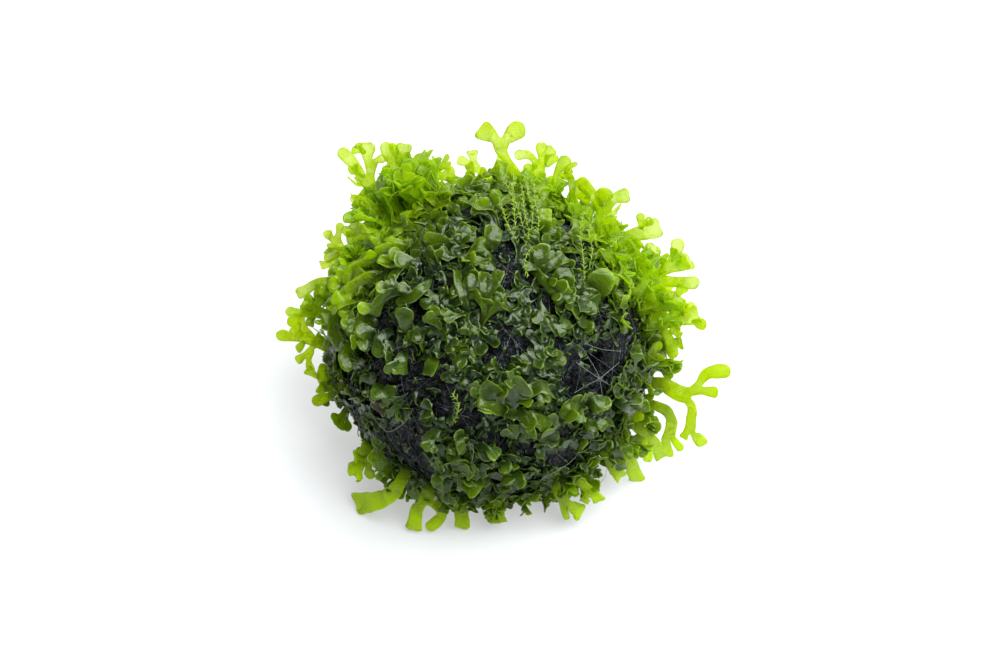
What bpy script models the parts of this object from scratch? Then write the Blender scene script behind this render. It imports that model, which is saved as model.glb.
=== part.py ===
# Subwassertang ball: forked green thalli growing over a dark, rough ball that rests on a small flat spot.
#
# The pieces are the ball, the cushions of short thalli that cover most of it, and the long fronds that
# stand out of them. A thallus is a flat ribbon that forks again and again and ends in rounded lobes.
# Lengths are in metres, +Z is up, and the origin is the middle of the flat spot that the ball rests on.
import math
import random

import bmesh
import bpy
from mathutils import Matrix, Vector, noise
from mathutils.bvhtree import BVHTree

MM = 0.001

# Driving dimensions
BALL_RADIUS = 30.0 * MM
FLAT_SINK = 1.7 * MM
CUSHION_DEPTH = 2.2 * MM
THICKNESS = 0.8 * MM
LOBE_WIDTH = 3.2 * MM
FOOT_WIDTH = 1.7 * MM
CLEARANCE = 0.35 * MM

# The surface of the ball: broad lumps, finer grit, and the hollow on its right side
LUMP_HEIGHT, LUMP_SCALE = 0.9 * MM, 2.6
GRIT_HEIGHT, GRIT_SCALE = 0.55 * MM, 7.0
HOLLOW_SIZE = Vector((3.4, 4.2, 7.0)) * MM
HOLLOW_PLACE = (21.0, -4.5)

# The long fronds are laid out as they are seen from the front, looking down on the ball at this tilt
VIEW_TILT = math.radians(45)
UPWARD = Vector((0, math.sin(VIEW_TILT), math.cos(VIEW_TILT)))
NEARER = Vector((0, -math.cos(VIEW_TILT), math.sin(VIEW_TILT)))

BALL_HEIGHT = BALL_RADIUS - FLAT_SINK
FLOOR_LEVEL = -BALL_HEIGHT
FLOOR_GAP = 0.15 * MM

# Cushions: how many share the ball, and the bare places as (right, up, radius), seen from the front
CUSHION_COUNT = 15
CUSHION_LUMPS, CUSHION_LUMP_SCALE = 1.1, 7.0
CUSHION_GAP = 1.0 * MM
RIM_DEPTH, RIM_SLOPE = 0.55, 0.7 * MM
LOWEST_CUSHION = -0.80
BARE_PLACES = (
    (3.0, 14.0, 4.4),
    (-13.0, -21.0, 5.6),
    (-19.5, -4.0, 3.4),
    (-8.0, -12.0, 3.8),
    (21.0, -4.5, 5.6),
    (27.5, 3.0, 3.6),
    (15.0, -24.0, 3.6),
)
PLACES_IN_A_CUSHION, THALLI_IN_A_CUSHION = 7, 3
THALLUS_ROOT = 0.45 * MM
THALLUS_LIFTS = ((0.7, 1.7), (1.2, 2.0))

# How much more the short thalli lift at the top of the ball, and how fast that falls off down its sides
TOP_LIFT, TOP_FALL = 1.7, 10

# Long fronds lie this far off the cushions past their feet, and are raised in small steps until clear
FROND_RISE = 0.5 * MM
LIFT_STEP, LIFT_STEPS = 0.2 * MM, 14

# Long fronds behind: how many, and the places that are tried, by height and by how far they face away
BACK_FRONDS = 10
BACK_PLACES = 40
BACK_HEIGHTS = (0.92, -0.58)
BACK_FACING = -0.25
BACK_FOOT = 3.0 * MM
BACK_DROOP = Vector((0, 0, -0.14))

# Their widths in millimetres and the turn of their forks in degrees, from the tips back to the stem
BACK_WIDTHS = ((1.6, 2.0), (2.1, 2.5), (2.5, 3.0))
BACK_SPREADS = ((0, 0), (35, 40), (42, 48))

GREEN = (0.105, 0.205, 0.018, 1.0)
BRIGHT_GREEN = (0.30, 0.50, 0.02, 1.0)
NEAR_BLACK = (0.012, 0.018, 0.020, 1.0)


def seen(right, up, near=0.0):
    """The point this many millimetres right of, above and in front of the ball's centre, from the front."""
    return (Vector((right, 0, 0)) + UPWARD * up + NEARER * near) * MM


def on_ball_seen(right, up):
    """The direction from the ball's centre to a place on its front."""
    near = math.sqrt(max(0.0, (BALL_RADIUS / MM) ** 2 - right**2 - up**2))
    return seen(right, up, near).normalized()


def stem(*points, wide=3.0, roll=0.0, forks=()):
    """A stretch of ribbon through points as seen(), and the stretches that it forks into at its end."""
    places = [p if isinstance(p, Vector) else seen(*p) for p in points]
    return {"points": places, "wide": wide * MM, "roll": math.radians(roll), "forks": forks}


# The long fronds, each from its foot in the cushions to its tips
FRONDS = {
    "frond_crown": stem(
        (6.5, 30.0, -3), (4.8, 34.4, -3), (3.2, 36.6, -2.5), wide=2.6,
        forks=(
            stem((0.6, 35.9, -0.5), wide=1.7),
            stem((2.3, 38.6, -2), (2.2, 40.6, -1.5), wide=3.4, forks=(
                stem((-0.2, 42.2, -0.5), (-2.6, 43.4, 0.8), wide=3.2),
                stem((4.4, 42.2, -1.5), (7.0, 43.8, -0.4), wide=3.4),
            )),
        ),
    ),
    "frond_crown_right": stem(
        (9.4, 30.0, -5), (9.6, 34.0, -5), (9.8, 36.4, -4.5), wide=2.8,
        forks=(
            stem((7.6, 38.2, -4), (4.9, 38.0, -4.5), wide=1.9),
            stem((10.8, 38.3, -4.5), wide=2.8, forks=(
                stem((10.3, 40.6, -4.4), wide=2.2),
                stem((12.9, 39.6, -4.6), wide=2.0),
            )),
        ),
    ),
    "frond_crown_edge": stem(
        (13.0, 29.4, -2), (13.6, 33.8, -2), wide=2.4,
        forks=(
            stem((15.6, 37.9, -3.5), wide=2.4),
            stem((16.2, 33.4, 2.5), (16.8, 27.6, 9.0), wide=1.6, roll=40),
        ),
    ),
    "frond_side_arm": stem((15.0, 26.6, -1), (17.0, 30.4, -2), (20.4, 31.2, -3), wide=2.3),
    "frond_shoulder": stem(
        (21.2, 20.8, 8), (22.2, 24.6, 9.5), wide=2.6,
        forks=(
            stem((25.2, 24.6, 10.5), wide=1.8),
            stem((22.6, 27.0, 7.5), wide=3.0, forks=(
                stem((20.6, 29.4, 8.8), (17.8, 33.2, 9.4), wide=2.2),
                stem((24.6, 29.2, 6.5), (28.0, 29.9, 6), wide=2.5),
            )),
        ),
    ),
    "frond_horn": stem(
        (24.0, 19.8, 2), (27.0, 21.4, 1), wide=2.8,
        forks=(
            stem((30.4, 22.4, 0.5), (34.4, 23.8, 0), wide=3.4),
            stem((28.6, 18.8, 1.5), (30.8, 15.6, 2), wide=2.2),
        ),
    ),
    "frond_ruffle": stem(
        (28.0, 9.5, 6), (31.4, 12.8, 5.5), (33.6, 13.6, 5), wide=3.4,
        forks=(
            stem((36.2, 15.8, 4.5), wide=3.0, forks=(
                stem((37.3, 19.0, 4), (37.2, 21.2, 4.6), wide=2.6),
                stem((40.2, 17.2, 3), wide=3.2),
            )),
            stem((37.4, 12.6, 5.2), (41.6, 12.3, 4), wide=2.4),
        ),
    ),
    "frond_ruffle_loop": stem((28.4, 14.0, 0), (31.6, 17.4, -1), (33.2, 20.2, -1), wide=3.0),
    "frond_lobe": stem(
        (29.6, 6.8, 5), (33.0, 8.6, 5), wide=2.8,
        forks=(
            stem((35.6, 10.6, 6.8), wide=2.8),
            stem((35.6, 7.6, 4.5), (38.8, 8.6, 4), wide=3.0),
        ),
    ),
    "frond_arm": stem(
        (29.6, 2.4, 6), (32.4, 4.0, 6), (34.4, 4.0, 5.5), wide=2.7,
        forks=(
            stem((38.4, 5.2, 4.5), (42.0, 6.3, 4), wide=3.2),
            stem((35.8, 1.0, 5), (36.6, -2.6, 4.5), wide=2.2),
        ),
    ),
    "frond_bunch": stem(
        (30.4, -2.4, 5), (32.6, -1.6, 5), wide=2.4,
        forks=(
            stem((34.0, 0.6, 4.5), wide=2.0),
            stem((34.0, -3.8, 5.2), wide=2.2),
        ),
    ),
    "frond_reach": stem(
        (30.6, -7.6, 0), (34.4, -7.6, -3), (37.2, -9.4, -4), (39.6, -10.2, -4.5), wide=3.6,
        forks=(
            stem((42.0, -8.6, -5), wide=2.6, forks=(
                stem((43.8, -5.6, -5), (48.2, -5.2, -5), wide=2.8),
                stem((45.8, -9.6, -5.5), wide=2.0),
            )),
            stem((40.6, -13.0, -7), (40.2, -17.4, -11), wide=2.6, roll=20, forks=(
                stem((38.8, -19.0, -12.5), wide=1.6),
                stem((43.2, -20.2, -15), wide=2.2),
            )),
        ),
    ),
    "frond_leg": stem(
        (30.8, -11.4, 3.4), (34.8, -12.8, 1.4), (36.4, -15.4, -3.5), (35.9, -18.6, -8.5), wide=2.6,
        forks=(
            stem((36.2, -22.6, -14.5), wide=1.8),
            stem((38.6, -21.2, -9.4), wide=1.5),
        ),
    ),
    "frond_low_right": stem((28.0, -15.6, 4), (32.2, -18.6, -3), (34.8, -23.0, -11), wide=2.4),
    "frond_heel_right": stem((25.0, -18.6, 6), (27.4, -21.8, 0), (29.8, -27.6, -10.5), wide=2.8),
    "frond_toe_right": stem((22.8, -21.2, 7), (24.4, -24.0, 2), (26.4, -26.8, -3), wide=2.3),
    "frond_hem_right": stem(
        (17.4, -26.6, 9), (19.8, -29.0, 5), wide=2.2,
        forks=(
            stem((21.8, -31.2, 1.5), wide=2.2),
            stem((18.6, -31.6, 2.4), wide=1.8),
        ),
    ),
    "frond_hem_front": stem(
        (13.4, -29.0, 8), (15.2, -31.8, 4), wide=2.4,
        forks=(
            stem((18.6, -33.8, -1), wide=3.0),
            stem((15.4, -34.8, -1.5), wide=1.2),
        ),
    ),
    "frond_toe_front": stem(
        (1.4, -30.4, 8), (1.4, -33.0, 3.5), wide=2.0,
        forks=(
            stem((-0.4, -35.2, -0.6), wide=2.0),
            stem((2.6, -35.6, -1), wide=1.7),
        ),
    ),
    "frond_leg_front": stem((-8.4, -28.6, 8), (-6.2, -31.6, 3.5), (-5.4, -36.6, -2), wide=2.7),
    "frond_loop_front": stem(
        (-11.8, -28.2, 8), (-12.6, -31.0, 4.5), wide=3.6,
        forks=(
            stem((-15.0, -33.6, 1.8), (-15.8, -37.4, -1.2), wide=3.0),
            stem((-10.2, -33.4, 2.4), (-12.2, -36.8, -1.2), wide=2.2),
        ),
    ),
    "frond_foot_left": stem((-17.2, -26.2, 8), (-19.8, -28.6, 4), (-26.8, -31.8, -6.5), wide=3.5),
    "frond_heel_left": stem(
        (-22.6, -21.8, 5), (-24.6, -23.6, 3), wide=2.8,
        forks=(
            stem((-28.2, -25.4, 0), wide=2.6),
            stem((-24.0, -27.0, -0.5), wide=2.0),
        ),
    ),
    "frond_left_low": stem(
        (-29.4, -8.4, 5), (-32.0, -9.6, 4), wide=2.8,
        forks=(
            stem((-35.4, -11.4, 2), wide=2.2),
            stem((-33.6, -6.8, 4.4), (-33.0, -3.8, 5.6), wide=1.7),
        ),
    ),
    "frond_left_tip": stem(
        (-31.2, -1.0, -2), (-35.4, 0.9, -4), (-38.6, 1.8, -5), wide=2.4,
        forks=(
            stem((-42.8, 2.2, -6), wide=2.1),
            stem((-38.8, 4.8, -4.2), wide=1.7),
        ),
    ),
    "frond_left_mid": stem(
        (-30.4, 5.6, 3), (-34.4, 6.6, 1.5), wide=2.4,
        forks=(
            stem((-37.4, 8.8, 0.5), wide=2.0),
            stem((-40.8, 6.8, 0), wide=1.7),
        ),
    ),
    "frond_left_wing": stem((-29.6, 12.0, 2), (-33.8, 12.8, 0), (-38.8, 10.4, -1.5), wide=2.8),
    "frond_left_upper": stem((-26.6, 17.6, 3), (-29.4, 18.8, 2), (-33.0, 17.4, 0), wide=2.6),
    "frond_left_shoulder": stem(
        (-23.6, 21.0, 3), (-26.0, 22.2, 3), wide=2.6,
        forks=(
            stem((-28.8, 21.2, 2.6), wide=2.4),
            stem((-27.4, 24.4, 1.8), wide=2.0),
        ),
    ),
    "frond_horn_left": stem(
        (-19.4, 24.6, -5), (-22.8, 29.0, -5.5), (-24.6, 33.4, -5), wide=3.0,
        forks=(
            stem((-27.4, 36.4, -4.4), (-30.2, 39.2, -3.6), wide=2.4),
            stem((-23.8, 36.6, -5.5), wide=2.8, forks=(
                stem((-24.7, 40.8, -5.4), wide=2.8),
                stem((-21.0, 37.7, -4.2), wide=1.6),
            )),
        ),
    ),
    "frond_fork_left": stem(
        (-15.0, 27.6, -3), (-17.6, 31.0, -3), (-18.6, 35.4, -2.5), wide=2.9,
        forks=(
            stem((-21.2, 40.6, -2), wide=2.4),
            stem((-17.0, 40.6, -2), wide=2.8),
        ),
    ),
    "frond_crest_left": stem(
        (-11.0, 29.4, -4), (-12.8, 32.6, -4), wide=3.0,
        forks=(
            stem((-15.4, 35.6, -4.6), wide=2.0),
            stem((-10.4, 34.2, -4), wide=2.6, forks=(
                stem((-11.4, 37.0, -4), wide=2.4),
                stem((-6.8, 34.4, -4), wide=2.8),
            )),
        ),
    ),
    "frond_leaflet_left": stem((-21.4, 25.6, 1), (-24.4, 28.2, 0), (-27.9, 29.5, -0.5), wide=1.6),
    "frond_crest_mid": stem(
        (-2.4, 30.4, 1), (-2.8, 33.2, 0.5), wide=2.4,
        forks=(
            stem((-4.6, 34.9, 0.8), wide=1.8),
            stem((-0.4, 35.0, 0.2), wide=2.0),
        ),
    ),
}


# How ribbons are drawn: where their flat side faces (away from the ball if None), the distance between
# their rows of corners, and how their tips end
SEEN_RIBBON = {"facing": NEARER, "spacing": 4.4 * MM, "rounded": True, "tip": 0.5}
BACK_RIBBON = {"facing": None, "spacing": 5.0 * MM, "rounded": True, "tip": 0.5}
SHORT_RIBBON = {"facing": None, "spacing": 5.0 * MM, "rounded": False, "tip": 0.72}
FORK_NOTCH = 0.12


def facing_at(point, style):
    return point.normalized() if style["facing"] is None else style["facing"]


def turned_side(forward, facing, roll):
    """The direction of a ribbon's width: square to its run, and turned about it by roll."""
    side = forward.cross(facing)
    if side.length < 1e-6:
        side = forward.orthogonal()
    return Matrix.Rotation(roll, 3, forward) @ side.normalized()


def rows_along(places, spacing):
    """Points about this far apart along a smooth curve through places, the first and last among them."""
    ends = [2 * places[0] - places[1], *places, 2 * places[-1] - places[-2]]
    rows = [places[0]]
    for before, start, stop, after in zip(ends, ends[1:], ends[2:], ends[3:]):
        count = max(1, round((stop - start).length / spacing))
        for k in range(1, count + 1):
            t = k / count
            bend = (2 * before - 5 * start + 4 * stop - after) * t * t
            twist = (3 * start - before - 3 * stop + after) * t**3
            rows.append(start + ((stop - before) * t + bend + twist) / 2)
    return rows


def extend(bm, end, centre, side, width):
    """Extrudes a ribbon's open end, a pair of left and right corners, to a new row."""
    grown = bmesh.ops.extrude_edge_only(bm, edges=[bm.edges.get(end)])["geom"]
    far = {v for v in grown if isinstance(v, bmesh.types.BMVert)}
    left, right = (next(e.other_vert(v) for e in v.link_edges if e.other_vert(v) in far) for v in end)
    left.co = centre - side * width / 2
    right.co = centre + side * width / 2
    return left, right


def grow(bm, end, start, tree, style, width_before):
    """Grows one stretch of ribbon from an open end, then the stretches that it forks into."""
    places = [start, *tree["points"]] if start else tree["points"]
    rows = rows_along(places, style["spacing"])
    width = tree["wide"]
    last = len(rows) - 1
    for k in range(1, last + 1):
        forward = (rows[min(k + 1, last)] - rows[k - 1]).normalized()
        side = turned_side(forward, facing_at(rows[k], style), tree["roll"] * k / last)
        row_width = width_before + (width - width_before) * k / last
        if k == last and not tree["forks"]:
            row_width = style["tip"] * width
            if style["rounded"]:
                shoulder = rows[k] - forward * min(0.35 * width, 0.4 * (rows[k] - rows[k - 1]).length)
                end = extend(bm, end, shoulder, side, width)
        end = extend(bm, end, rows[k], side, row_width)
    if tree["forks"]:
        split_fork(bm, end, rows[-1], side, tree, style)


def split_fork(bm, end, centre, side, tree, style):
    """Halves a ribbon's open end, and grows one branch from each half."""
    left, right = end
    _, middle = bmesh.utils.edge_split(bm.edges.get(end), left, 0.5)
    outward = (rows_centre(tree["forks"]) - centre).normalized()
    middle.co = centre + outward * FORK_NOTCH * tree["wide"]
    branches = sorted(tree["forks"], key=lambda b: (b["points"][0] - centre).dot(side))
    for half, branch in zip([(left, middle), (middle, right)], branches):
        root = (half[0].co + half[1].co) / 2
        grow(bm, half, root, branch, style, (half[0].co - half[1].co).length)


def rows_centre(branches):
    """The mean of the first points of some branches."""
    return sum((b["points"][0] for b in branches), Vector()) / len(branches)


def thallus_mesh(tree, style):
    """A forked ribbon as a closed solid, in a new bmesh."""
    bm = bmesh.new()
    rows = rows_along(tree["points"], style["spacing"])
    forward = (rows[1] - rows[0]).normalized()
    side = turned_side(forward, facing_at(rows[0], style), 0.0)
    end = [bm.verts.new(rows[0] + side * s * FOOT_WIDTH / 2) for s in (-1, 1)]
    bm.edges.new(end)
    grow(bm, end, None, tree, style, FOOT_WIDTH)
    for vert in bm.verts:
        vert.co.z = max(vert.co.z, FLOOR_LEVEL + FLOOR_GAP + THICKNESS)
    bmesh.ops.recalc_face_normals(bm, faces=bm.faces)
    bmesh.ops.solidify(bm, geom=bm.faces[:], thickness=THICKNESS)
    bmesh.ops.triangulate(bm, faces=bm.faces)
    bmesh.ops.recalc_face_normals(bm, faces=bm.faces)
    return bm


def ball_surface(direction):
    """How far the rough ball reaches from its centre in this direction."""
    lump = noise.noise(direction * LUMP_SCALE)
    grit = noise.noise(direction * GRIT_SCALE + Vector((7, 3, 1)))
    return BALL_RADIUS + LUMP_HEIGHT * lump + GRIT_HEIGHT * grit


def material(name, colour, roughness):
    made = bpy.data.materials.new(name)
    made.use_nodes = True
    shader = made.node_tree.nodes["Principled BSDF"]
    shader.inputs["Base Color"].default_value = colour
    shader.inputs["Roughness"].default_value = roughness
    shader.inputs["Metallic"].default_value = 0.0
    made.diffuse_color = colour
    return made


def place(name, bm, finish, centre):
    """Makes an object of a bmesh that is drawn about the ball's centre."""
    mesh = bpy.data.meshes.new(name)
    bm.to_mesh(mesh)
    bm.free()
    mesh.materials.append(finish)
    made = bpy.data.objects.new(name, mesh)
    bpy.context.scene.collection.objects.link(made)
    made.parent = centre
    return made


def make_ball(finish, centre):
    """The rough ball, flattened where it rests, with the hollow on its right side cut in."""
    bm = bmesh.new()
    bmesh.ops.create_icosphere(bm, subdivisions=4, radius=1.0)
    for vert in bm.verts:
        direction = vert.co.normalized()
        vert.co = direction * ball_surface(direction)
    cut = bmesh.ops.bisect_plane(
        bm,
        geom=bm.verts[:] + bm.edges[:] + bm.faces[:],
        plane_co=(0, 0, FLOOR_LEVEL),
        plane_no=(0, 0, 1),
        clear_inner=True,
    )
    rim = [e for e in cut["geom_cut"] if isinstance(e, bmesh.types.BMEdge)]
    bmesh.ops.contextual_create(bm, geom=rim)
    bmesh.ops.recalc_face_normals(bm, faces=bm.faces)
    ball = place("dark_ball", bm, finish, centre)
    ball.data.shade_smooth()
    ball.data.set_sharp_from_angle(angle=math.radians(40))

    bm = bmesh.new()
    bmesh.ops.create_icosphere(bm, subdivisions=2, radius=1.0)
    inward = on_ball_seen(*HOLLOW_PLACE)
    turn = inward.to_track_quat("Z", "Y").to_matrix()
    for vert in bm.verts:
        vert.co = inward * BALL_RADIUS + turn @ Vector(a * b for a, b in zip(vert.co, HOLLOW_SIZE))
    cutter = place("hollow_cutter", bm, finish, centre)
    cutter.hide_render = True
    cutter.display_type = "WIRE"
    hollow = ball.modifiers.new("hollow", "BOOLEAN")
    hollow.operation = "DIFFERENCE"
    hollow.object = cutter
    return ball


def spread_directions(count, highest, lowest):
    """Directions spread evenly over the ball between two heights."""
    golden = math.pi * (3 - math.sqrt(5))
    directions = []
    for k in range(count):
        z = highest + (lowest - highest) * (k + 0.5) / count
        level = math.sqrt(1 - z * z)
        directions.append(Vector((level * math.cos(golden * k), level * math.sin(golden * k), z)))
    return directions


def is_bare(direction):
    if direction.z < LOWEST_CUSHION:
        return True
    return any(
        (direction - on_ball_seen(right, up)).length * BALL_RADIUS < radius * MM
        for right, up, radius in BARE_PLACES
    )


def cushion_faces(grid, seeds):
    """The faces of the grid that each cushion covers."""
    covered = {}
    for face in grid.faces:
        direction = face.calc_center_median().normalized()
        if not is_bare(direction):
            nearest = max(range(len(seeds)), key=lambda k: direction.dot(seeds[k]))
            covered.setdefault(nearest, set()).add(face)
    return [tidy_region(covered[k]) for k in sorted(covered)]


def tidy_region(faces):
    """The largest connected part of a region, without faces that meet it only at a corner."""
    while True:
        verts = {v for f in faces for v in f.verts}
        pinched = [
            v for v in verts
            if sum(len(set(e.link_faces) & faces) == 1 for e in v.link_edges) > 2
        ]
        thin = {f for f in faces if sum(bool(set(e.link_faces) & faces - {f}) for e in f.edges) < 2}
        drop = thin | {next(f for f in v.link_faces if f in faces) for v in pinched}
        if not drop:
            break
        faces = faces - drop
    parts = []
    left = set(faces)
    while left:
        part, edge_of_part = set(), [min(left, key=lambda f: f.index)]
        while edge_of_part:
            face = edge_of_part.pop()
            if face in left:
                left.discard(face)
                part.add(face)
                edge_of_part += [f for e in face.edges for f in e.link_faces if f in left]
        parts.append(part)
    return max(parts, key=len, default=set())


def cushion_body(grid, faces):
    """A closed, lumpy pad over some faces of the grid, just clear of the ball."""
    kept = {f.index for f in faces}
    bm = grid.copy()
    bmesh.ops.delete(bm, geom=[f for f in bm.faces if f.index not in kept], context="FACES")
    for vert in bm.verts:
        direction = vert.co.normalized()
        vert.co = direction * (ball_surface(direction) + CLEARANCE)
    rim = {v: inward_of(v) for v in bm.verts if v.is_boundary}
    for vert, inward in rim.items():
        vert.co += inward * CUSHION_GAP / 2
    outer = {}
    grown = bmesh.ops.extrude_face_region(bm, geom=bm.faces[:], use_keep_orig=True)["geom"]
    for vert in (v for v in grown if isinstance(v, bmesh.types.BMVert)):
        joined = [e.other_vert(vert) for e in vert.link_edges]
        outer[vert] = min(joined, key=lambda v: (v.co - vert.co).length)
    for vert, inner in outer.items():
        direction = vert.co.normalized()
        if inner in rim:
            vert.co += direction * CUSHION_DEPTH * RIM_DEPTH + rim[inner] * RIM_SLOPE
        else:
            lump = 1 + CUSHION_LUMPS * noise.noise(direction * CUSHION_LUMP_SCALE)
            vert.co += direction * CUSHION_DEPTH * lump
    bmesh.ops.recalc_face_normals(bm, faces=bm.faces)
    return bm


def inward_of(vert):
    """The direction from a corner on the rim of a sheet to the sheet's inside."""
    centres = [f.calc_center_median() for f in vert.link_faces]
    return (sum(centres, Vector()) / len(centres) - vert.co).normalized()


def turned_about(axis, rng):
    """A direction square to this axis, at a random turn."""
    return Matrix.Rotation(rng.uniform(0, 2 * math.pi), 3, axis) @ axis.orthogonal().normalized()


def short_thallus(start, rng):
    """A thallus that creeps over a cushion from this place, forks, and lifts its lobes."""
    out = start.normalized()
    heading = turned_about(out, rng)
    level = start.length - THALLUS_ROOT
    steepness = 1.0 + TOP_LIFT * max(0.0, out.z) ** TOP_FALL

    def lift(generation):
        return rng.uniform(*THALLUS_LIFTS[generation]) * MM * steepness

    def stretch(point, heading, length, height, generation):
        out = point.normalized()
        forward = (heading - out * heading.dot(out)).normalized()
        ahead = (point + forward * length).normalized() * height
        forks = ()
        if generation:
            half_fork = math.radians(rng.uniform(28, 44))
            forks = [
                stretch(
                    ahead,
                    Matrix.Rotation(turn * half_fork, 3, ahead.normalized()) @ forward,
                    rng.uniform(3.0, 4.2) * MM,
                    height + lift(generation - 1),
                    generation - 1,
                )
                for turn in (-1, 1)
            ]
        wide = rng.uniform(0.75, 1.0) * LOBE_WIDTH / MM
        return stem(ahead, wide=wide, roll=rng.uniform(-25, 25), forks=forks)

    foot = out * level
    tree = stretch(foot, heading, rng.uniform(3.0, 4.4) * MM, level + lift(1), 1)
    tree["points"].insert(0, foot)
    return tree


def back_frond(direction, sideways, rng):
    """A long frond on the far side of the ball, which stands out, droops and forks twice."""
    out = direction.normalized()

    def stretch(point, heading, length, generation):
        heading = (heading + BACK_DROOP).normalized()
        ahead = point + heading * length
        forks = ()
        if generation:
            spread = math.radians(rng.uniform(*BACK_SPREADS[generation]))
            axis = heading.cross(sideways.cross(heading)).normalized()
            forks = []
            for turn in (-1, 1):
                turned = Matrix.Rotation(turn * spread, 3, axis) @ heading
                forks.append(stretch(ahead, turned, length * 0.85, generation - 1))
        return stem(ahead, wide=rng.uniform(*BACK_WIDTHS[generation]), roll=rng.uniform(-8, 8), forks=forks)

    foot = out * (BALL_RADIUS + CUSHION_DEPTH)
    first = foot + (out * 0.8 + sideways * 0.3).normalized() * BACK_FOOT
    tree = stretch(first, (out + sideways * 0.5).normalized(), rng.uniform(4.0, 4.8) * MM, 2)
    tree["points"][0:0] = [foot, first]
    return tree


def tree_of(bm, swell=0.0):
    """A search tree of a solid, with its surface moved outwards by swell."""
    bm.normal_update()
    corners = [v.co + v.normal * swell for v in bm.verts]
    return BVHTree.FromPolygons(corners, [[v.index for v in f.verts] for f in bm.faces])


def indexed(bm):
    bm.verts.index_update()
    bm.faces.index_update()
    return bm


def lifted(point, ground, lift):
    """A point, moved outwards if need be, so that it lies this far above the ball and the cushions."""
    out = point.normalized()
    hits = [g.ray_cast(out * 2 * BALL_RADIUS, -out) for g in ground]
    surface = max(2 * BALL_RADIUS - h[3] for h in hits if h[0] is not None)
    return out * max(point.length, surface + lift)


def lifted_tree(tree, ground, lift):
    places = [lifted(p, ground, lift) for p in tree["points"]]
    return {**tree, "points": places, "forks": [lifted_tree(b, ground, lift) for b in tree["forks"]]}


def planted(tree, style, ground, fronds):
    """A long frond's solid, raised until it is clear of what it grows from and of the other fronds."""
    for step in range(LIFT_STEPS):
        lift = CLEARANCE + step * LIFT_STEP
        foot = lifted(tree["points"][0].normalized() * MM, ground, lift)
        raised = lifted_tree(tree, ground, lift + FROND_RISE)
        later = [p for p in raised["points"][1:] if (p - foot).length > FOOT_WIDTH]
        later = later or [foot + foot.normalized() * FOOT_WIDTH]
        bm = indexed(thallus_mesh({**raised, "points": [foot, *later]}, style))
        own = tree_of(bm, CLEARANCE * 0.6)
        if not any(own.overlap(n) for n in [*ground, *fronds]):
            return bm
        bm.free()
    return None


def plant(name, tree, style, ground, fronds, finish, centre):
    """Adds a long frond if there is a clear place for it, and tells whether there was."""
    made = planted(tree, style, ground, fronds)
    if made is None:
        return False
    fronds.append(tree_of(made))
    place(name, made, finish, centre)
    return True


def cushion_thalli(body, others, rng):
    """The short thalli of one cushion that are clear of everything else, in one bmesh."""
    grown = bmesh.new()
    faces = sorted(body.faces, key=lambda f: f.index)
    outer = [f for f in faces if f.normal.dot(f.calc_center_median()) > 0.6 * BALL_RADIUS]
    planted_here = []
    for start in spread_places([f.calc_center_median() for f in outer], PLACES_IN_A_CUSHION):
        bm = indexed(thallus_mesh(short_thallus(start, rng), SHORT_RIBBON))
        own = tree_of(bm, CLEARANCE * 0.6)
        low = min(v.co.z for v in bm.verts) < FLOOR_LEVEL + 0.5 * MM
        if low or any(own.overlap(n) for n in [*others, *planted_here]):
            bm.free()
        else:
            planted_here.append(tree_of(bm))
            join_into(grown, bm)
        if len(planted_here) == THALLI_IN_A_CUSHION:
            break
    return grown


def spread_places(places, count):
    """Some of these places, as far from each other as they can be."""
    middle = sum(places, Vector()) / len(places)
    chosen = [min(places, key=lambda p: (p - middle).length)]
    while len(chosen) < min(count, len(places)):
        chosen.append(max(places, key=lambda p: min((p - c).length for c in chosen)))
    return chosen


def join_into(target, bm):
    """Adds a solid to another bmesh as a body of its own."""
    scrap = bpy.data.meshes.new("scrap")
    bm.to_mesh(scrap)
    bm.free()
    target.from_mesh(scrap)
    bpy.data.meshes.remove(scrap)


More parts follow.
